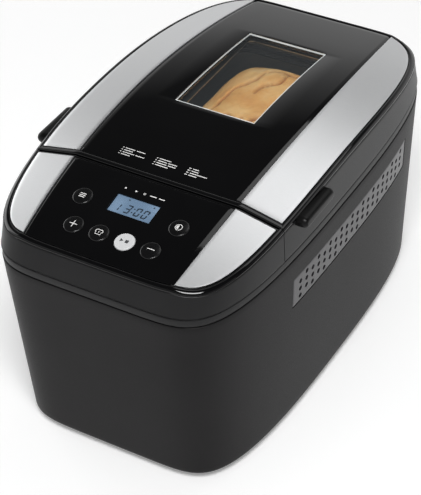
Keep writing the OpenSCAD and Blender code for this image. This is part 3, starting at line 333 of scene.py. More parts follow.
panelInset = body["rimWidth"] + 0.4 * mm
ringCount = 288


def signedPower(value, power):
    return math.copysign(abs(value) ** power, value)


def planPoint(halfWidth, halfDepth, sidePower, endPower, angle):
    return Vector((halfWidth * signedPower(math.cos(angle), 2 / sidePower),
                   halfDepth * signedPower(math.sin(angle), 2 / endPower)))


def crown(y):
    t = y / rimHalfDepth
    return crownZ + body["crownTilt"] * t - body["crownFall"] * t * t + body["crownSkew"] * t ** 3


def panelEdge(y):
    return body["panelHalf"] - body["panelNip"] * (y / rimHalfDepth) ** 2


def topZ(x, y):
    return crown(y) - body["flankSlope"] * max(0, abs(x) - panelEdge(y))


def rimEndY(x, inset):
    a, b = rimHalfWidth - inset, rimHalfDepth - inset
    return b * max(0, 1 - min(1, abs(x) / a) ** body["sidePower"]) ** (1 / body["rimPower"])


def rimSideX(y, inset):
    a, b = rimHalfWidth - inset, rimHalfDepth - inset
    return a * max(0, 1 - min(1, abs(y) / b) ** body["rimPower"]) ** (1 / body["sidePower"])


def shellPoint(z, inset, angle):
    q = (z - footZ) / (seamZ - footZ)
    p = planPoint(seamHalfWidth - body["sideTaper"] * (1 - q) - inset,
                  seamHalfDepth - body["endTaper"] * (1 - q) - inset, body["sidePower"], body["endPower"], angle)
    return Vector((p.x, p.y, z))


def wallX(y, z, inset):
    q = (z - footZ) / (seamZ - footZ)
    a = seamHalfWidth - body["sideTaper"] * (1 - q) - inset
    b = seamHalfDepth - body["endTaper"] * (1 - q) - inset
    return a * (1 - min(1, abs(y) / b) ** body["endPower"]) ** (1 / body["sidePower"])


def jointPlace(name):
    return next(joint for joint in frame["joints"] if joint["name"] == name)["pos_m"]


def seamPoint(inset, z, angle):
    p = planPoint(seamHalfWidth - inset, seamHalfDepth - inset, body["sidePower"], body["endPower"], angle)
    return Vector((p.x, p.y, z))


def rimPoint(inset, drop, angle):
    p = planPoint(rimHalfWidth - inset, rimHalfDepth - inset, body["sidePower"], body["rimPower"], angle)
    return Vector((p.x, p.y, topZ(p.x, p.y) - drop))


# Modelling helpers

def editMode(on):
    bpy.ops.object.mode_set(mode="EDIT" if on else "OBJECT")


def soloSelect(piece):
    bpy.ops.object.select_all(action="DESELECT")
    piece.select_set(True)
    bpy.context.view_layer.objects.active = piece


# A circle is extruded ring by ring and each ring set to its own outline. A closed section is bridged back
def ringLoft(levels, place, closed=False, count=ringCount):
    bpy.ops.object.select_all(action="DESELECT")
    bpy.ops.mesh.primitive_circle_add(vertices=count, radius=1)
    piece = bpy.context.object
    editMode(True)
    bpy.ops.mesh.select_all(action="SELECT")
    for _ in range(levels - 1):
        bpy.ops.mesh.extrude_region_move(TRANSFORM_OT_translate={"value": (0, 0, 1)})
    if closed:
        editMode(False)
        heights = [round(vertex.co.z) for vertex in piece.data.vertices]
        for vertex, height in zip(piece.data.vertices, heights):
            vertex.select = height in (0, levels - 1)
        for edge in piece.data.edges:
            ends = {heights[i] for i in edge.vertices}
            edge.select = ends in ({0}, {levels - 1})
        editMode(True)
        bpy.ops.mesh.bridge_edge_loops()
    editMode(False)
    for vertex in piece.data.vertices:
        index = round(math.atan2(vertex.co.y, vertex.co.x) / (2 * math.pi) * count) % count
        vertex.co = place(index, round(vertex.co.z))
    return piece


# A flat grid whose rows and columns are then set to their own places
def gridSheet(columns, rows, place):
    bpy.ops.object.select_all(action="DESELECT")
    bpy.ops.mesh.primitive_grid_add(x_subdivisions=columns, y_subdivisions=rows, size=2)
    piece = bpy.context.object
    for vertex in piece.data.vertices:
        i, j = round((vertex.co.x + 1) / 2 * columns), round((vertex.co.y + 1) / 2 * rows)
        vertex.co = place(i, j)
    return piece


def applyModifier(piece, kind, **settings):
    soloSelect(piece)
    modifier = piece.modifiers.new(kind.lower(), kind)
    for key, value in settings.items():
        setattr(modifier, key, value)
    bpy.ops.object.modifier_apply(modifier=modifier.name)


def outward(piece):
    soloSelect(piece)
    editMode(True)
    bpy.ops.mesh.select_all(action="SELECT")
    bpy.ops.mesh.remove_doubles(threshold=1e-6)
    bpy.ops.mesh.normals_make_consistent(inside=False)
    editMode(False)


def cutAway(piece, point, direction):
    soloSelect(piece)
    editMode(True)
    bpy.ops.mesh.select_all(action="SELECT")
    bpy.ops.mesh.bisect(plane_co=point, plane_no=direction, clear_outer=True, use_fill=True)
    editMode(False)


def roundEdges(piece, width, segments):
    applyModifier(piece, "BEVEL", width=width * mm, segments=segments, limit_method="ANGLE",
                  angle_limit=math.radians(50))


def turnOver(piece):
    soloSelect(piece)
    editMode(True)
    bpy.ops.mesh.select_all(action="SELECT")
    bpy.ops.mesh.flip_normals()
    editMode(False)


def closeEnds(piece):
    soloSelect(piece)
    editMode(True)
    bpy.ops.mesh.select_all(action="DESELECT")
    bpy.ops.mesh.select_non_manifold()
    bpy.ops.mesh.fill_holes(sides=0)
    editMode(False)
    outward(piece)


def boxAt(place, size):
    bpy.ops.mesh.primitive_cube_add(size=1, location=place)
    bpy.context.object.scale = size
    return bpy.context.object


def finishPiece(piece, name, bodyName, slotName, material, stands=(), degrees=35):
    soloSelect(piece)
    bpy.ops.object.shade_smooth_by_angle(angle=math.radians(degrees))
    bpy.ops.object.transform_apply(location=True, rotation=True, scale=True)
    piece.name = piece.data.name = name
    if not piece.data.materials:
        piece.data.materials.append(material)
    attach(piece, bodyName)
    if stands:
        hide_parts(*stands)
    return piece


def joinPieces(pieces):
    if len(pieces) == 1:
        return pieces[0]
    soloSelect(pieces[0])
    for other in pieces[1:]:
        other.select_set(True)
    bpy.ops.object.join()
    return bpy.context.object


def carve(piece, cutters):
    cutter = joinPieces(cutters)
    soloSelect(cutter)
    bpy.ops.object.transform_apply(location=True, rotation=True, scale=True)
    applyModifier(piece, "BOOLEAN", object=cutter, operation="DIFFERENCE", solver="EXACT")
    bpy.data.objects.remove(cutter)


# Lower casing: foot radius, tapered walls, top edge, then its wall thickness and its openings
casing = {"footInset": 3.5 * mm, "footRound": 5 * mm, "topEdge": 1 * mm, "rows": 30, "wall": 2.6 * mm,
          "letIn": 0.3 * mm, "ventDepth": 50 * mm, "glandRadius": 8 * mm, "glandDepth": 60 * mm}


def makeLowerShell():
    foot, rows = casing["footRound"], casing["rows"]
    levels = [(casing["footInset"] * (1 - math.sin(a)), footZ + foot * (1 - math.cos(a)))
              for a in [math.pi / 2 * k / 8 for k in range(9)]]
    levels += [(0, footZ + foot + (seamZ - footZ - foot - casing["topEdge"]) * k / rows)
               for k in range(1, rows + 1)]
    levels += [(0.1 * mm, seamZ - 0.6 * mm), (0.35 * mm, seamZ - 0.2 * mm), (0.8 * mm, seamZ)]
    piece = ringLoft(len(levels), lambda i, k: shellPoint(levels[k][1], levels[k][0],
                                                          2 * math.pi * i / ringCount))
    outward(piece)
    applyModifier(piece, "SOLIDIFY", thickness=casing["wall"], offset=-1)
    low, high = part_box("side_vents")
    opening = (casing["ventDepth"], high.y - low.y + 2 * casing["letIn"], high.z - low.z + 2 * casing["letIn"])
    cutters = [boxAt((side * seamHalfWidth, (low.y + high.y) / 2, (low.z + high.z) / 2), opening)
               for side in (-1, 1)]
    low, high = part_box("cord_gland")
    bpy.ops.mesh.primitive_cylinder_add(
        vertices=48, radius=casing["glandRadius"], depth=casing["glandDepth"], rotation=(math.pi / 2, 0, 0),
        location=((low.x + high.x) / 2, seamHalfDepth - casing["glandDepth"] / 3, (low.z + high.z) / 2))
    cutters.append(bpy.context.object)
    carve(piece, cutters)
    return finishPiece(piece, "lower_casing", "housing", "shell_plastic", casingAbs, ["lower_shell"])


def makeTrimBand():
    low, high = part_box("trim_band")
    section = [(3.1, 0), (1.5, 0), (0.95, 0.3), (0.6, 0.8), (0.5, 1.4), (0.5, 4.1), (0.5, 6.8), (0.6, 7.4),
               (0.95, 7.9), (1.5, 8.2), (3.1, 8.2)]  # inset and rise in mm
    scale = (high.z - low.z) / (section[-1][1] * mm)
    piece = ringLoft(len(section), lambda i, k: seamPoint(
        section[k][0] * mm, low.z + section[k][1] * mm * scale, 2 * math.pi * i / ringCount), closed=True)
    outward(piece)
    return finishPiece(piece, "seam_band", "housing", "shell_plastic", upperAbs, ["trim_band"])


makeLowerShell()
makeTrimBand()
print("casing and seam band made")


# Perforated grilles let into the long sides: three holes a column, every other column half a pitch lower
grille = {"thickness": 2.0, "columnPitch": 11.0, "holePitch": 8.4, "holeRadius": 2.55, "slit": 0.5,
          "margin": 8.0, "sunk": 0.25, "edge": 0.3, "backing": 2.5, "backingRim": 3.0, "shadeSheetThickness": 0.4,
          # backing, backingRim and the sheet thickness place the dark sheet of painted shade behind the holes
          "columns": 88, "rows": 12, "punchX": 118.0, "punchDepth": 40.0}


def makeGrilles():
    low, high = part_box("side_vents")
    columns = int((high.y - low.y) / mm - grille["margin"]) // int(grille["columnPitch"])
    first = (low.y + high.y) / 2 - (columns - 1) * grille["columnPitch"] * mm / 2
    slit = grille["slit"] * mm
    plates = []
    for side in (-1, 1):
        def place(i, j):
            z = low.z + slit + (high.z - low.z - 2 * slit) * j / grille["rows"]
            y = low.y + slit + (high.y - low.y - 2 * slit) * i / grille["columns"]
            return Vector((side * (wallX(y, z, 0) - grille["sunk"] * mm), y, z))
        plate = gridSheet(grille["columns"], grille["rows"], place)
        outward(plate)
        if plate.data.polygons[0].normal.x * side <= 0:
            turnOver(plate)
        applyModifier(plate, "SOLIDIFY", thickness=grille["thickness"] * mm, offset=-1)
        roundEdges(plate, grille["edge"], 2)
        punches = []
        for column in range(columns):
            for row in (-1, 0, 1):
                z = (low.z + high.z) / 2 + (row + (column % 2) / 2 - 0.25) * grille["holePitch"] * mm
                bpy.ops.mesh.primitive_cylinder_add(
                    vertices=20, radius=grille["holeRadius"] * mm, depth=grille["punchDepth"] * mm,
                    rotation=(0, math.pi / 2, 0),
                    location=(side * grille["punchX"] * mm, first + column * grille["columnPitch"] * mm, z))
                punches.append(bpy.context.object)
        carve(plate, punches)
        plates.append(plate)
    return finishPiece(joinPieces(plates), "vent_grilles", "housing", "vent_plastic", grilleAbs, ["side_vents"])


makeGrilles()
print("grilles made")


# Upper housing: one moulded section swept round the body, then parted into console and lid
windowLow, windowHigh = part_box("window_glass")
windowMid = (windowLow.y + windowHigh.y) / 2
windowCorner = 3 * mm
upper = {"well": (126 * mm, 67.6 * mm, 60 * mm), "wellInFront": 53.8 * mm, "wellRise": 35 * mm,
         "notch": (2 * seamHalfWidth, 40 * mm, 60 * mm), "notchBehind": 20 * mm, "notchRise": -10.6 * mm,
         "wallDrop": 3.2 * mm, "barUnder": 3.4 * mm, "glossFrom": 0.905}
windowHalfX, windowHalfY = (windowHigh.x - windowLow.x) / 2, (windowHigh.y - windowLow.y) / 2


def roundedOutline(halfX, halfY, corner, share):
    straightX, straightY, arc = halfX - corner, halfY - corner, math.pi / 2 * corner
    lengths = [straightY, arc, 2 * straightX, arc, 2 * straightY, arc, 2 * straightX, arc, straightY]
    travelled = (share % 1.0) * sum(lengths)
    leg = 0
    while leg < 8 and travelled > lengths[leg]:
        travelled -= lengths[leg]
        leg += 1
    if leg % 2:
        centre = [(straightX, straightY), (-straightX, straightY), (-straightX, -straightY),
                  (straightX, -straightY)][leg // 2]
        angle = travelled / corner + math.pi / 2 * (leg // 2)
        return Vector((centre[0] + corner * math.cos(angle), centre[1] + corner * math.sin(angle)))
    return [Vector((halfX, travelled)), None, Vector((straightX - travelled, halfY)), None,
            Vector((-halfX, straightY - travelled)), None, Vector((travelled - straightX, -halfY)), None,
            Vector((halfX, travelled - straightY))][leg]


def windowPoint(grow, drop, angle):
    p = roundedOutline(windowHalfX + grow, windowHalfY + grow, windowCorner, angle / (2 * math.pi))
    y = p.y + windowMid
    return Vector((p.x, y, crown(y) - drop))


def upperRing(step, bottom, angle):
    kind, first, second = step
    if kind == "foot":
        return seamPoint(first * mm, bottom + second * mm, angle)
    if kind == "wall":
        return seamPoint(second * mm, bottom, angle).lerp(rimPoint(second * mm, 0, angle), first)
    if kind == "rim":
        return rimPoint(first * mm, second * mm, angle)
    if kind == "window":
        return windowPoint(first * mm, second * mm, angle)
    outer = rimPoint(body["rimWidth"], body["recess"] + second * mm, angle)
    inner = windowPoint(-1.2 * mm, 0, angle)
    p = outer.lerp(inner, first)
    return Vector((p.x, p.y, topZ(p.x, p.y) - body["recess"] - second * mm))


def upperMould(bottom):
    floor = body["recess"] / mm
    steps = [("foot", 2.6, 0), ("foot", 1.5, 0), ("foot", 0.8, 0.3), ("foot", 0.15, 0.9), ("foot", 0.05, 1.2)]
    steps += [("wall", 0.04 + 0.845 * k / 14, 0) for k in range(15)]
    steps += [("wall", 0.893, 0.12), ("wall", 0.899, 0.7), ("wall", 0.912, 0.75), ("wall", 0.920, 0.15),
              ("wall", 0.928, 0.0), ("wall", 0.95, -0.25), ("wall", 0.975, -0.2), ("rim", 0.15, 0.55),
              ("rim", 0.55, 0.0), ("rim", 1.1, -0.35), ("rim", 1.8, -0.58), ("rim", 2.7, -0.62), ("rim", 3.6, -0.5),
              ("rim", 4.3, -0.15), ("rim", 4.75, 0.45), ("rim", 4.95, 1.2), ("rim", 5.0, floor)]
    steps += [("floor", share, 0) for share in (0.1, 0.3, 0.5, 0.7, 0.9, 1.0)]
    steps += [("floor", share, 2.0) for share in (1.0, 0.9, 0.7, 0.5, 0.3, 0.1)]
    steps += [("rim", 5.0, floor + 2.0), ("rim", 3.4, floor + 2.2), ("wall", 0.8, 2.6), ("wall", 0.4, 2.6)]
    piece = ringLoft(len(steps), lambda i, k: upperRing(steps[k], bottom, 2 * math.pi * i / ringCount),
                     closed=True)
    outward(piece)
    return piece


# Wall or bar across the body that follows the crown and the flanks: a section swept from side to side
def crossSweep(section, columns=64):
    y = sum(p[0] for p in section) / len(section)
    reach = rimSideX(y, 0) - 1.6 * mm
    rows = len(section)

    def place(i, j):
        x = reach * (2 * i / columns - 1)
        depth, level, rise = section[j % rows]
        return Vector((x, depth, level if level is not None else topZ(x, y) + rise))
    piece = gridSheet(columns, rows, place)
    soloSelect(piece)
    editMode(True)
    bpy.ops.mesh.select_all(action="SELECT")
    bpy.ops.mesh.remove_doubles(threshold=1e-7)
    editMode(False)
    closeEnds(piece)
    return piece


def crossWall(front, back, bottom, drop):
    return crossSweep([(front, bottom, 0), (back, bottom, 0), (back, None, -drop), (front, None, -drop)])


def roundedBar(front, back, under, over, edge):
    arc = [(math.cos(a), math.sin(a)) for a in [math.pi / 2 * k / 5 for k in range(6)]]
    section = [(front, None, -under), (back, None, -under)]
    section += [(back - edge + edge * c, None, over - edge + edge * s) for c, s in arc]
    section += [(front + edge - edge * c, None, over - edge + edge * s) for c, s in reversed(arc)]
    return crossSweep(section)


def makeConsoleHousing():
    shell = upperMould(bandZ)
    cutAway(shell, (0, consoleBack, 0), (0, 1, 0))
    carve(shell, [boxAt((0, splitY - upper["wellInFront"], bandZ + upper["wellRise"]), upper["well"])])
    front = consoleBack - body["wall"]
    return [shell, crossWall(front, consoleBack, bandZ, upper["wallDrop"]),
            roundedBar(front, consoleBack, upper["barUnder"], -0.5 * mm, 0.9 * mm)]


def makeLidCover():
    shell = upperMould(bandZ + body["lidLift"])
    cutAway(shell, (0, lidFront, 0), (0, -1, 0))
    hingeY = jointPlace("lid_hinge")[1]
    carve(shell, [boxAt((0, hingeY + upper["notchBehind"], bandZ + upper["notchRise"]), upper["notch"])])
    return [shell, crossWall(lidFront, lidFront + body["wall"], bandZ + body["lidLift"], upper["wallDrop"]),
            roundedBar(lidFront, lidFront + body["rimWidth"], upper["barUnder"], 0.5 * mm, 1.2 * mm)]


# The side walls keep the satin texture, and the rim and its floor are polished
def paintRim(piece):
    piece.data.materials.clear()
    piece.data.materials.append(upperAbs)
    piece.data.materials.append(glossAbs)
    for face in piece.data.polygons:
        c = face.center
        reach = (c.z - bandZ) / (topZ(c.x, c.y) - bandZ)
        face.material_index = 1 if reach > upper["glossFrom"] else 0


for parts, name, bodyName, node in ((makeConsoleHousing(), "console_shell", "housing", "console_housing"),
                                    (makeLidCover(), "lid_shell", "lid", "lid_cover")):
    shell = joinPieces(parts)
    paintRim(shell)
    finishPiece(shell, name, bodyName, "black_gloss", glossAbs, [node])
print("console and lid shells made")


# Black panels: flat across the middle with a bevelled strip down each side
panel = {"gap": 0.5, "strip": 5.0, "stripBack": 3.0, "stripFall": 0.8, "thickness": 2.0, "edge": 0.3,
         "windowGap": 0.35}


def panelColumns(y, windowed):
    edge = panelEdge(y) / mm - panel["gap"]
    back = max(0.0, y / rimHalfDepth)
    strip = panel["strip"] + (panel["stripBack"] - panel["strip"]) * back
    inner = edge - strip
    middle = windowHalfX / mm + panel["windowGap"] if windowed else edge * 0.5
    half = [edge, edge - strip * 0.5, inner + 0.5, inner - 0.5, (inner + middle) / 2, middle, middle * 0.5]
    falls = [panel["stripFall"], panel["stripFall"] * 0.5, panel["stripFall"] * 0.06, 0, 0, 0, 0]
    right = list(zip(half, falls))
    return [(-x, fall) for x, fall in right] + [(0, 0)] + right[::-1]


def blackPanel(front, back, windowed):
    if windowed:
        lowY, highY = windowLow.y - panel["windowGap"] * mm, windowHigh.y + panel["windowGap"] * mm
        rows = [front + (lowY - front) * k / 20 for k in range(20)]
        rows += [lowY + (highY - lowY) * k / 24 for k in range(24)]
        rows += [highY + (back - highY) * k / 16 for k in range(17)]
    else:
        rows = [front + (back - front) * k / 30 for k in range(31)]
    knee = rows[44] if windowed else rows[15]

    def place(i, j):
        y = rows[j]
        x, fall = panelColumns(y, windowed)[i]
        end = rimEndY(x * mm, panelInset)
        if windowed and y > knee:
            y = knee + (y - knee) * (end - knee) / (back - knee)
        if not windowed and y < knee:
            y = knee - (knee - y) * (knee + end) / (knee - front)
        return Vector((x * mm, y, crown(y) - fall * mm))
    piece = gridSheet(14, len(rows) - 1, place)
    if windowed:
        soloSelect(piece)
        editMode(True)
        bpy.ops.mesh.select_mode(type="FACE")
        bpy.ops.mesh.select_all(action="DESELECT")
        editMode(False)
        for face in piece.data.polygons:
            c = face.center
            face.select = abs(c.x) < windowHalfX and windowLow.y < c.y < windowHigh.y
        editMode(True)
        bpy.ops.mesh.delete(type="FACE")
        bpy.ops.mesh.select_mode(type="VERT")
        editMode(False)
    applyModifier(piece, "SOLIDIFY", thickness=panel["thickness"] * mm, offset=-1)
    outward(piece)
    roundEdges(piece, panel["edge"], 3)
    return piece


lidPanelFront = lidFront + panelInset
consolePanelBack = consoleBack - body["wall"] - 0.4 * mm
lidPanel = blackPanel(lidPanelFront, rimHalfDepth - panelInset, True)
finishPiece(lidPanel, "lid_gloss_panel", "lid", "black_gloss", glossAbs, ["lid_panel"])
consolePanel = blackPanel(panelInset - rimHalfDepth, consolePanelBack, False)

# Frame of a console piece: on the crown at a distance in front of the split, tilted with the console
console = {"recess": 2.4, "buttonRadius": 9.3, "buttonGap": 0.3, "displayBack": 36.0, "displayWidth": 43.5,
           "displayDepth": 21.0, "cutDepth": 14.0,
           "buttons": {"menu": (-49, 41.0), "plus": (-39, 71.6), "loaf": (-13, 71.6), "start": (13, 71.6),
                       "minus": (39, 71.6), "crust": (49, 41.0)}}
consoleTilt = math.atan((crown(splitY - 30 * mm) - crown(splitY - 80 * mm)) / (50 * mm))


def onConsole(x, back):
    y = splitY - back * mm
    place = Matrix.Translation((x * mm, y, crown(y) - console["recess"] * mm))
    return place @ Matrix.Rotation(consoleTilt, 4, "X")


def drillConsolePanel(piece):
    cutters = []
    for x, back in console["buttons"].values():
        bpy.ops.mesh.primitive_cylinder_add(
            vertices=64, radius=(console["buttonRadius"] + console["buttonGap"]) * mm,
            depth=console["cutDepth"] * mm)
        cutters.append(bpy.context.object)
        cutters[-1].matrix_world = onConsole(x, back)
    bpy.ops.mesh.primitive_cube_add(size=1)
    slot = bpy.context.object
    slot.matrix_world = onConsole(0, console["displayBack"]) @ Matrix.Diagonal(
        (console["displayWidth"] * mm, console["displayDepth"] * mm, console["cutDepth"] * mm, 1))
    cutters.append(slot)
    carve(piece, cutters)
    return finishPiece(piece, "console_gloss_panel", "housing", "black_gloss", glossAbs, ["console_panel"])


drillConsolePanel(consolePanel)
print("gloss panels made")


# Silver flanks: a sheet from the black panel's edge out to the rim, raised a little above the black
flank = {"innerRise": 0.4, "outerRise": 0.5, "thickness": 1.8, "edge": 0.4, "columns": 10, "rows": 110,
         "innerGap": 0.3, "leastWidth": 0.6, "crowding": 2.2}


def silverFlanks(near, far, name, bodyName, node):
    sides = []
    for side in (-1, 1):
        def place(i, j):
            v = 1 - (1 - j / flank["rows"]) ** flank["crowding"]
            y = near + (far - near) * v
            inner = panelEdge(y) + flank["innerGap"] * mm
            outer = max(rimSideX(y, panelInset), inner + flank["leastWidth"] * mm)
            u = i / flank["columns"]
            x = inner + (outer - inner) * u
            rise = (flank["innerRise"] + (flank["outerRise"] - flank["innerRise"]) * u) * mm
            return Vector((side * x, y, topZ(x, y) + rise))
        sheet = gridSheet(flank["columns"], flank["rows"], place)
        outward(sheet)
        if sheet.data.polygons[len(sheet.data.polygons) // 3].normal.z < 0:
            turnOver(sheet)
        applyModifier(sheet, "SOLIDIFY", thickness=flank["thickness"] * mm, offset=-1)
        roundEdges(sheet, flank["edge"], 3)
        sides.append(sheet)
    return finishPiece(joinPieces(sides), name, bodyName, "silver_trim", silverFoil, [node])


flankEnd = rimEndY(panelEdge(rimHalfDepth), 0) - body["rimWidth"] - 0.6 * mm
silverFlanks(lidPanelFront, flankEnd, "lid_silver_flanks", "lid", "lid_trims")
silverFlanks(consolePanelBack, -flankEnd, "console_silver_flanks", "housing", "console_trims")
print("silver flanks made")


# Keycaps: a lathe of rings from the stem up to a shallow dome, with a flange that holds the key in
key = {"cap": 3.3, "flange": 1.6, "flangeLow": -1.8, "flangeHigh": -0.4, "round": 1.3, "crest": 0.5, "stem": 2.5,
       "rings": 96}


def keyTop(radius):
    share = min(1, radius / (console["buttonRadius"] - key["round"]))
    return key["cap"] + key["crest"] * (1 - share ** 2)


def makeKey(name, x, back):
    r, low = console["buttonRadius"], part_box(name + "_button")[0].z
    frameOf = onConsole(x, back)
    stemLow = (low - frameOf.translation.z) / mm / math.cos(consoleTilt) + key["stem"] * math.tan(consoleTilt)
    profile = [(0.05, stemLow), (key["stem"] - 0.4, stemLow), (key["stem"], stemLow + 0.4),
               (key["stem"], key["flangeLow"]), (r + key["flange"], key["flangeLow"]),
               (r + key["flange"], key["flangeHigh"]), (r, key["flangeHigh"]), (r, key["cap"] - key["round"])]
    for k in range(1, 6):
        a = math.pi / 2 * k / 5
        profile.append((r - key["round"] * (1 - math.cos(a)), key["cap"] - key["round"] * (1 - math.sin(a))))
    profile += [(rr * r, keyTop(rr * r)) for rr in (0.7, 0.5, 0.3, 0.15)] + [(0.05, keyTop(0))]
    piece = ringLoft(len(profile), lambda i, k: frameOf @ Vector((
        profile[k][0] * mm * math.cos(2 * math.pi * i / key["rings"]),
        profile[k][0] * mm * math.sin(2 * math.pi * i / key["rings"]), profile[k][1] * mm)), count=key["rings"])
    closeEnds(piece)
    slotName, material = ("button_silver", keySilver) if name == "start" else ("button_black", keyBlack)
    return finishPiece(piece, name + "_keycap", name + "_key", slotName, material, [name + "_button"], 40)


for keyName, (keyX, keyBack) in console["buttons"].items():
    makeKey(keyName, keyX, keyBack)
print("keycaps made")


# Printed marks: flat bars, rings and triangles, laid on the surface under them and a twentieth of a mm thick
marks = {"proud": 0.06, "sunk": 0.15, "line": 0.75, "cell": 0.9}


def flatBar(centreX, centreY, sizeX, sizeY, slant=0.0):
    cellsX, cellsY = max(2, int(sizeX / marks["cell"])), max(2, int(sizeY / marks["cell"]))

    def place(i, j):
        u, v = i / cellsX - 0.5, j / cellsY - 0.5
        return Vector((centreX + u * sizeX + slant * (centreY + v * sizeY), centreY + v * sizeY, 0))
    return thicken(gridSheet(cellsX, cellsY, place))


def flatRing(points, width):
    count = len(points)

    def place(i, k):
        before, here, after = Vector(points[i - 1]), Vector(points[i]), Vector(points[(i + 1) % count])
        along = (after - before).normalized()
        side = Vector((along.y, -along.x)) * width * (0.5 if k in (1, 2) else -0.5)
        return Vector((here.x + side.x, here.y + side.y, 0 if k < 2 else 1))
    piece = ringLoft(4, place, closed=True, count=count)
    outward(piece)
    return piece


def flatFan(points):
    bpy.ops.object.select_all(action="DESELECT")
    bpy.ops.mesh.primitive_circle_add(vertices=len(points), fill_type="TRIFAN")
    piece = bpy.context.object
    for vertex in piece.data.vertices:
        if vertex.co.length < 1e-4:
            vertex.co = sum((Vector((*p, 0)) for p in points), Vector()) / len(points)
        else:
            index = round(math.atan2(vertex.co.y, vertex.co.x) / (2 * math.pi) * len(points)) % len(points)
            vertex.co = Vector((*points[index], 0))
    return thicken(piece)


def thicken(piece):
    applyModifier(piece, "SOLIDIFY", thickness=1.0, offset=1)
    outward(piece)
    low = min(v.co.z for v in piece.data.vertices)
    for vertex in piece.data.vertices:
        vertex.co.z = 1.0 if vertex.co.z > low + 0.5 else 0.0
    return piece


def arcPoints(radius, start, end, count, centre=(0, 0)):
    return [(centre[0] + radius * math.cos(start + (end - start) * k / count),
             centre[1] + radius * math.sin(start + (end - start) * k / count)) for k in range(count + 1)]


def layMark(pieces, height, matrix, name, bodyName, slotName, material):
    piece = joinPieces(pieces)
    for vertex in piece.data.vertices:
        level = height(vertex.co.x, vertex.co.y) + (marks["proud"] if vertex.co.z > 0.5 else -marks["sunk"])
        vertex.co = matrix(Vector((vertex.co.x, vertex.co.y, level)))
    return finishPiece(piece, name, bodyName, slotName, material, (), 30)


def loafOutline(width, height):
    w, h = width / 2, height / 2
    dome = arcPoints(w * 0.55, -0.5, math.pi * 0.55, 9, (w * 0.5, h * 0.42))
    dome += [(-x, y) for x, y in reversed(dome)]
    return [(-w * 0.8, -h), (w * 0.8, -h), (w * 0.8, 0)] + dome + [(-w * 0.8, 0)]


def keySymbols():
    line = marks["line"]
    fullTurn = arcPoints(3.1, 0, 2 * math.pi, 40)[:-1]
    halfMoon = [(0, 2.2)] + arcPoints(2.2, math.pi / 2, 1.5 * math.pi, 16)[1:]
    return {
        "menu": [flatBar(0, y, 6.0, line) for y in (-1.9, 0, 1.9)],
        "plus": [flatBar(0, 0, line, 7.4), flatBar(-2.05, 0, 3.3, line), flatBar(2.05, 0, 3.3, line)],
        "loaf": [flatRing(loafOutline(6.6, 4.8), 0.6), flatBar(0, 0.2, 0.5, 2.0)],
        "start": [flatFan([(-1.0, 0), (-4.2, 1.9), (-4.2, -1.9)]), flatBar(2.4, 0, 3.2, 3.2)],
        "minus": [flatBar(0, 0.8, 7.4, line)],
        "crust": [flatRing(fullTurn, 0.6), flatFan(halfMoon)],
    }


for keyName, shapes in keySymbols().items():
    keyFrame = onConsole(*console["buttons"][keyName])
    slotName, ink = ("button_black", darkPrint) if keyName == "start" else ("button_silver", printInk)
    layMark(shapes, lambda x, y: keyTop(math.hypot(x, y)), lambda p, m=keyFrame: m @ (p * mm),
            keyName + "_symbol", keyName + "_key", slotName, ink)
print("key symbols printed")


# Programme list on the lid and icons over the display, as dashes and dots: rows of words of set lengths
programmes = {"columns": (-48.5, -13, 20), "firstRow": -84.0, "rowPitch": 2.75, "thick": 0.85, "space": 1.5,
              "words": (((1.2, 10, 9), (1.2, 9), (1.2, 12, 9), (1.2, 9)),
                        ((1.2, 12), (1.2, 9, 9), (1.2, 10, 8), (1.2, 13)),
                        ((2.4, 6), (2.4, 7), (2.4, 17), (2.4, 8)))}


def programmeList():
    shapes = []
    for column, rowsOfWords in zip(programmes["columns"], programmes["words"]):
        for row, words in enumerate(rowsOfWords):
            start = column
            for length in words:
                shapes.append(flatBar(start + length / 2, programmes["firstRow"] - row * programmes["rowPitch"],
                                      length, programmes["thick"]))
                start += length + programmes["space"]
    return shapes


def onCrown(p):
    return Vector((p.x * mm, p.y * mm, crown(p.y * mm) + p.z * mm))


layMark(programmeList(), lambda x, y: 0, onCrown, "programme_list", "lid", "button_silver", printInk)
hintRow = splitY / mm - 18.6
layMark([flatFan(arcPoints(0.9, 0, 2 * math.pi, 12, (-18.6, hintRow))[:-1]), flatBar(-7.8, hintRow, 1.8, 1.4),
         flatRing(arcPoints(0.9, 0, 2 * math.pi, 16, (0.8, hintRow))[:-1], 0.45),
         flatBar(9.6, hintRow, 6.4, 0.9), flatBar(18.2, hintRow, 5.6, 0.9)],
        lambda x, y: 0, onCrown, "display_hints", "housing", "button_silver", printInk)
print("panel printing laid")


# Display: a glazed cell in its slot, with slanted seven-segment figures and two pointers
display = {"slant": 0.16, "figureWidth": 5.4, "figureHeight": 9.8, "stroke": 1.35, "glassDrop": 1.1, "edge": 0.4,
           "lit": {"0": "abcdef", "1": "bc", "3": "abcdg"}}


def sevenSegment(figure, x, y, scale=1.0):
    w, h, s = display["figureWidth"] * scale, display["figureHeight"] * scale, display["stroke"] * scale
    layout = {"a": (0, h / 2 - s / 2, w - s, s), "g": (0, 0, w - s, s), "d": (0, -h / 2 + s / 2, w - s, s),
              "f": (-w / 2 + s / 2, h / 4, s, h / 2 - s), "b": (w / 2 - s / 2, h / 4, s, h / 2 - s),
              "e": (-w / 2 + s / 2, -h / 4, s, h / 2 - s), "c": (w / 2 - s / 2, -h / 4, s, h / 2 - s)}
    return [flatBar(x + layout[k][0], y + layout[k][1], layout[k][2], layout[k][3], display["slant"])
            for k in display["lit"][figure]]


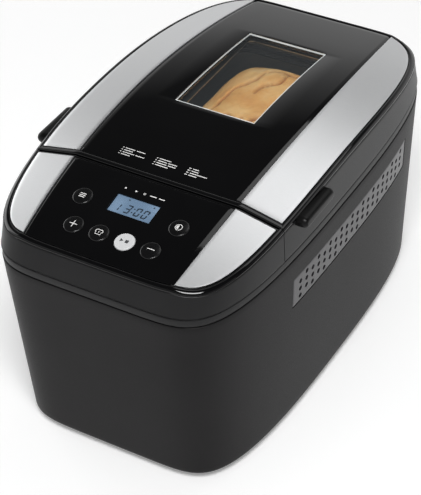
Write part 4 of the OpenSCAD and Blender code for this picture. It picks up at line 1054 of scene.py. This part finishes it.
def makeDisplay():
    toRoom = onConsole(0, console["displayBack"])
    top = console["recess"] - display["glassDrop"]
    halfX, halfY = console["displayWidth"] / 2 - 0.3, console["displayDepth"] / 2 - 0.3
    bpy.ops.object.select_all(action="DESELECT")
    cell = boxAt((0, 0, (top - 2) / 2), (2 * halfX, 2 * halfY, top + 2))
    bpy.ops.object.transform_apply(location=True, rotation=True, scale=True)
    applyModifier(cell, "BEVEL", width=display["edge"], segments=3)
    tray = boxAt((0, 0.5, -3.95), (2 * halfX + 8, 2 * halfY + 5, 4.1))
    bpy.ops.object.transform_apply(location=True, rotation=True, scale=True)
    applyModifier(tray, "BEVEL", width=0.6, segments=2)
    cell.data.materials.append(lcdGlass)
    tray.data.materials.append(innerAbs)
    piece = joinPieces([cell, tray])
    for vertex in piece.data.vertices:
        vertex.co = toRoom @ (vertex.co * mm)
    finishPiece(piece, "display_cell", "housing", "display", lcdGlass, ["lcd_display"], 40)
    figures = sevenSegment("3", -3.6, -2.4) + sevenSegment("0", 6.2, -2.4) + sevenSegment("0", 13.8, -2.4)
    figures += sevenSegment("1", -13.6, -3.2, 0.8)
    figures += [flatBar(1.4, y, 1.3, 1.3, display["slant"]) for y in (-4.6, -0.2)]
    figures += [flatFan([(x, 8.6), (x - 1.1, 6.9), (x + 1.1, 6.9)]) for x in (-8.2, 16.8)]
    layMark(figures, lambda x, y: top, lambda p: toRoom @ (p * mm), "display_figures", "housing", "display",
            segmentInk)


makeDisplay()
print("display made")


# Window: a pane bent to the crown, with a wide bevel all round whose faces are near-white frosted glass: partly the
# ground edge's own colour, partly a painted highlight
glass = {"bevel": 0.45, "thickness": 1.9, "lift": 0.15, "columns": 28, "rows": 46}


def makeWindow():
    def place(i, j):
        x = windowHalfX * (2 * i / glass["columns"] - 1)
        y = windowMid + windowHalfY * (2 * j / glass["rows"] - 1)
        return Vector((x, y, crown(y) + glass["lift"] * mm))
    pane = gridSheet(glass["columns"], glass["rows"], place)
    applyModifier(pane, "SOLIDIFY", thickness=glass["thickness"] * mm, offset=-1)
    outward(pane)
    roundEdges(pane, glass["bevel"], 1)
    pane.data.materials.append(windowGlass)
    pane.data.materials.append(groundEdgePaintedHighlight)
    # The bevel faces take the near-white glass, a painted highlight along the edge
    for face in pane.data.polygons:
        face.material_index = 1 if abs(face.normal.z) < 0.9 else 0
    return finishPiece(pane, "window_pane", "lid", "window_glass", windowGlass, ["window_glass"], 25)


makeWindow()
print("window pane made")


# Loaf in the pan: straight sides, an overhanging crest and a domed top that folded and split as it rose
loaf = {"halfWidth": 61.0, "halfLength": 107.0, "middle": (0.0, 43.5), "corner": 3.6, "rim": 180.0,
        "archHeight": 66.3, "archPower": 2.3, "endPower": 5.0, "lumps": 1.5, "splitDepth": 3.2,
        "splits": ((-38, -10, -14, 74, 0.6), (-14, 74, 30, 92, 2.2), (-6, 30, 12, 84, 2.6),
                   (-24, -16, 6, -8, 1.0), (2, -30, 34, 20, 0.2))}


def splitDepth(x, y):
    deepest = 0.0
    for x0, y0, x1, y1, phase in loaf["splits"]:
        runX, runY = x1 - x0, y1 - y0
        along = max(0.0, min(1.0, ((x - x0) * runX + (y - y0) * runY) / (runX ** 2 + runY ** 2)))
        wander = 3.2 * math.sin(along * 9 + phase) + 2.0 * noise(Vector((x * 0.11, y * 0.11, phase)))
        side = ((x - x0) * runY - (y - y0) * runX) / math.hypot(runX, runY) - wander
        reach = math.hypot(x - x0 - along * runX, y - y0 - along * runY)
        if 0.02 < along < 0.98 and reach < 12:
            deepest = max(deepest, math.exp(-(side / 1.9) ** 2) * math.sin(math.pi * along) ** 0.4)
    return deepest


def loafTop(x, y):
    swing = jointPlace("bail_swing")[2] / mm
    power = loaf["archPower"]
    arch = swing + max(0, loaf["archHeight"] ** power - abs(x) ** power) ** (1 / power) - loaf["rim"]
    return loaf["rim"] + arch * max(0, 1 - min(1, abs(y) / loaf["halfLength"]) ** loaf["endPower"]) ** 0.45


def makeLoaf():
    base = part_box("bread_pan")[0].z / mm + 3.5
    rings = [(0.02, 0), (0.5, 0), (0.87, 0), (0.93, 0.03), (0.95, 0.15), (0.965, 0.4), (0.98, 0.7), (0.99, 0.88)]
    rings += [(math.cos(math.pi / 2 * k / 56), 1) for k in range(56)] + [(0.01, 1)]
    cx, cy = loaf["middle"]

    def place(i, k):
        share, level = rings[k]
        p = planPoint(loaf["halfWidth"], loaf["halfLength"], loaf["corner"], loaf["corner"],
                      2 * math.pi * i / ringCount)
        x, y = p.x * share, p.y * share
        if level < 1:
            return Vector(((cx + x) * mm, (cy + y) * mm, (base + (loafTop(p.x, p.y) - base) * level) * mm))
        lump = fractal(Vector((x * 0.03, y * 0.03, 1.0)), 0.8, 2.0, 4) * loaf["lumps"]
        fine = fractal(Vector((x * 0.2, y * 0.2, 4.0)), 0.9, 2.0, 3) * 0.3
        sunk = loaf["splitDepth"] * splitDepth(x, y)
        relief = (min(lump, 0.6) + min(fine, 0.3) - sunk) * min(1, (1 - share) * 8)
        return Vector(((cx + x) * mm, (cy + y) * mm, (loafTop(x, y) + relief) * mm))
    piece = ringLoft(len(rings), place)
    closeEnds(piece)
    # crackDepth drives the painted shade in the cracks of the crust
    depths = piece.data.attributes.new("crackDepth", "FLOAT", "POINT")
    for vertex in piece.data.vertices:
        depths.data[vertex.index].value = splitDepth(vertex.co.x / mm - cx, vertex.co.y / mm - cy) \
            if vertex.co.z / mm > loaf["rim"] + 4 else 0.0
    finishPiece(piece, "bread_loaf", "pan", None, breadCrust, (), 60)


makeLoaf()
print("loaf made")


# Finger grips: a fat rounded lip on each side of the lid, lowest and thinnest at its free edge
grip = {"root": 4.0, "shoulder": 0.55, "tipSwell": 0.4, "points": 96}


def makeGrips():
    low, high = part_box("lid_grips")
    length, height, middleY, middleZ = high.y - low.y, high.z - low.z, (high.y + low.y) / 2, (high.z + low.z) / 2
    sides = []
    for side in (-1, 1):
        rootX, tipX = seamHalfWidth - grip["root"] * mm, high.x
        shoulder = grip["shoulder"]
        reaches = [0, 0.35, shoulder]
        reaches += [shoulder + (1 - shoulder) * math.sin(math.pi / 2 * k / 9) for k in range(1, 10)]

        def place(i, k):
            share = reaches[k]
            past = max(0.0, (share - shoulder) / (1 - shoulder))
            swell = math.sqrt(max(0.0, 1 - past ** 2)) * 0.55 + 0.45
            if k == len(reaches) - 1:
                swell = grip["tipSwell"]
            p = roundedOutline(length / 2 - (1 - swell) * height * 0.5, height / 2 * swell,
                               height / 2 * swell * 0.98, i / grip["points"])
            return Vector((side * (rootX + (tipX - rootX) * share), middleY + p.x, middleZ + p.y))
        piece = ringLoft(len(reaches), place, count=grip["points"])
        closeEnds(piece)
        sides.append(piece)
    return finishPiece(joinPieces(sides), "finger_grips", "lid", "black_gloss", gripAbs, ["lid_grips"], 50)


makeGrips()
print("finger grips made")


# Painted shade: a dark sheet behind the grille holes, so that they read dark and the inside of the wall doesn't
# show through them
def makeGrilleShadeSheet():
    low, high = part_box("side_vents")
    rim = grille["backingRim"] * mm
    sheets = []
    for side in (-1, 1):
        def place(i, j):
            y = low.y + rim + (high.y - low.y - 2 * rim) * i / 24
            z = low.z + rim + (high.z - low.z - 2 * rim) * j / 8
            return Vector((side * wallX(y, z, grille["backing"] * mm), y, z))
        sheet = gridSheet(24, 8, place)
        applyModifier(sheet, "SOLIDIFY", thickness=grille["shadeSheetThickness"] * mm, offset=0)
        outward(sheet)
        sheets.append(sheet)
    # painted shade: a dark sheet where inside the casing there is only shade
    return finishPiece(joinPieces(sheets), "grille_shade_sheet", "housing", "inner_plastic", innerAbs, (), 30)


makeGrilleShadeSheet()
print("grille backing made")


# Everything not rebuilt above keeps its own shape and takes its finish from this list
carriedOver = {
    footRubber: "rubber_feet cord_gland", innerAbs: "base_plate top_deck hinge_housing",
    zincPlate: "base_screws lid_screws", aluminisedSheet: "oven_chamber element_clips lid_liner",
    heaterTube: "heating_element", motorEnamel: "motor_body", beltRubber: "motor_belt link_belt",
    groundSteel: "temperature_probe motor_bracket hinge_pins motor_shaft front_drive_shaft rear_drive_shaft "
                 "handle_rivets pan_handle front_paddle_shaft rear_paddle_shaft",
    dieCasting: "pan_seat drive_frame front_drive_dog rear_drive_dog pan_base hinge_arms",
    sinteredBronze: "drive_bushes pan_bearings", circuitBoard: "power_board control_board",
    pulleyNylon: "motor_pulley double_pulley rear_pulley", nonStick: "bread_pan front_paddle rear_paddle",
    windowGlass: "inner_glass", siliconeSeal: "lid_seal",
}
for material, names in carriedOver.items():
    for name in names.split():
        mesh = frame["nodes"][name].data
        mesh.materials.clear()
        mesh.materials.append(material)
print("finishes set on the carried-over parts")
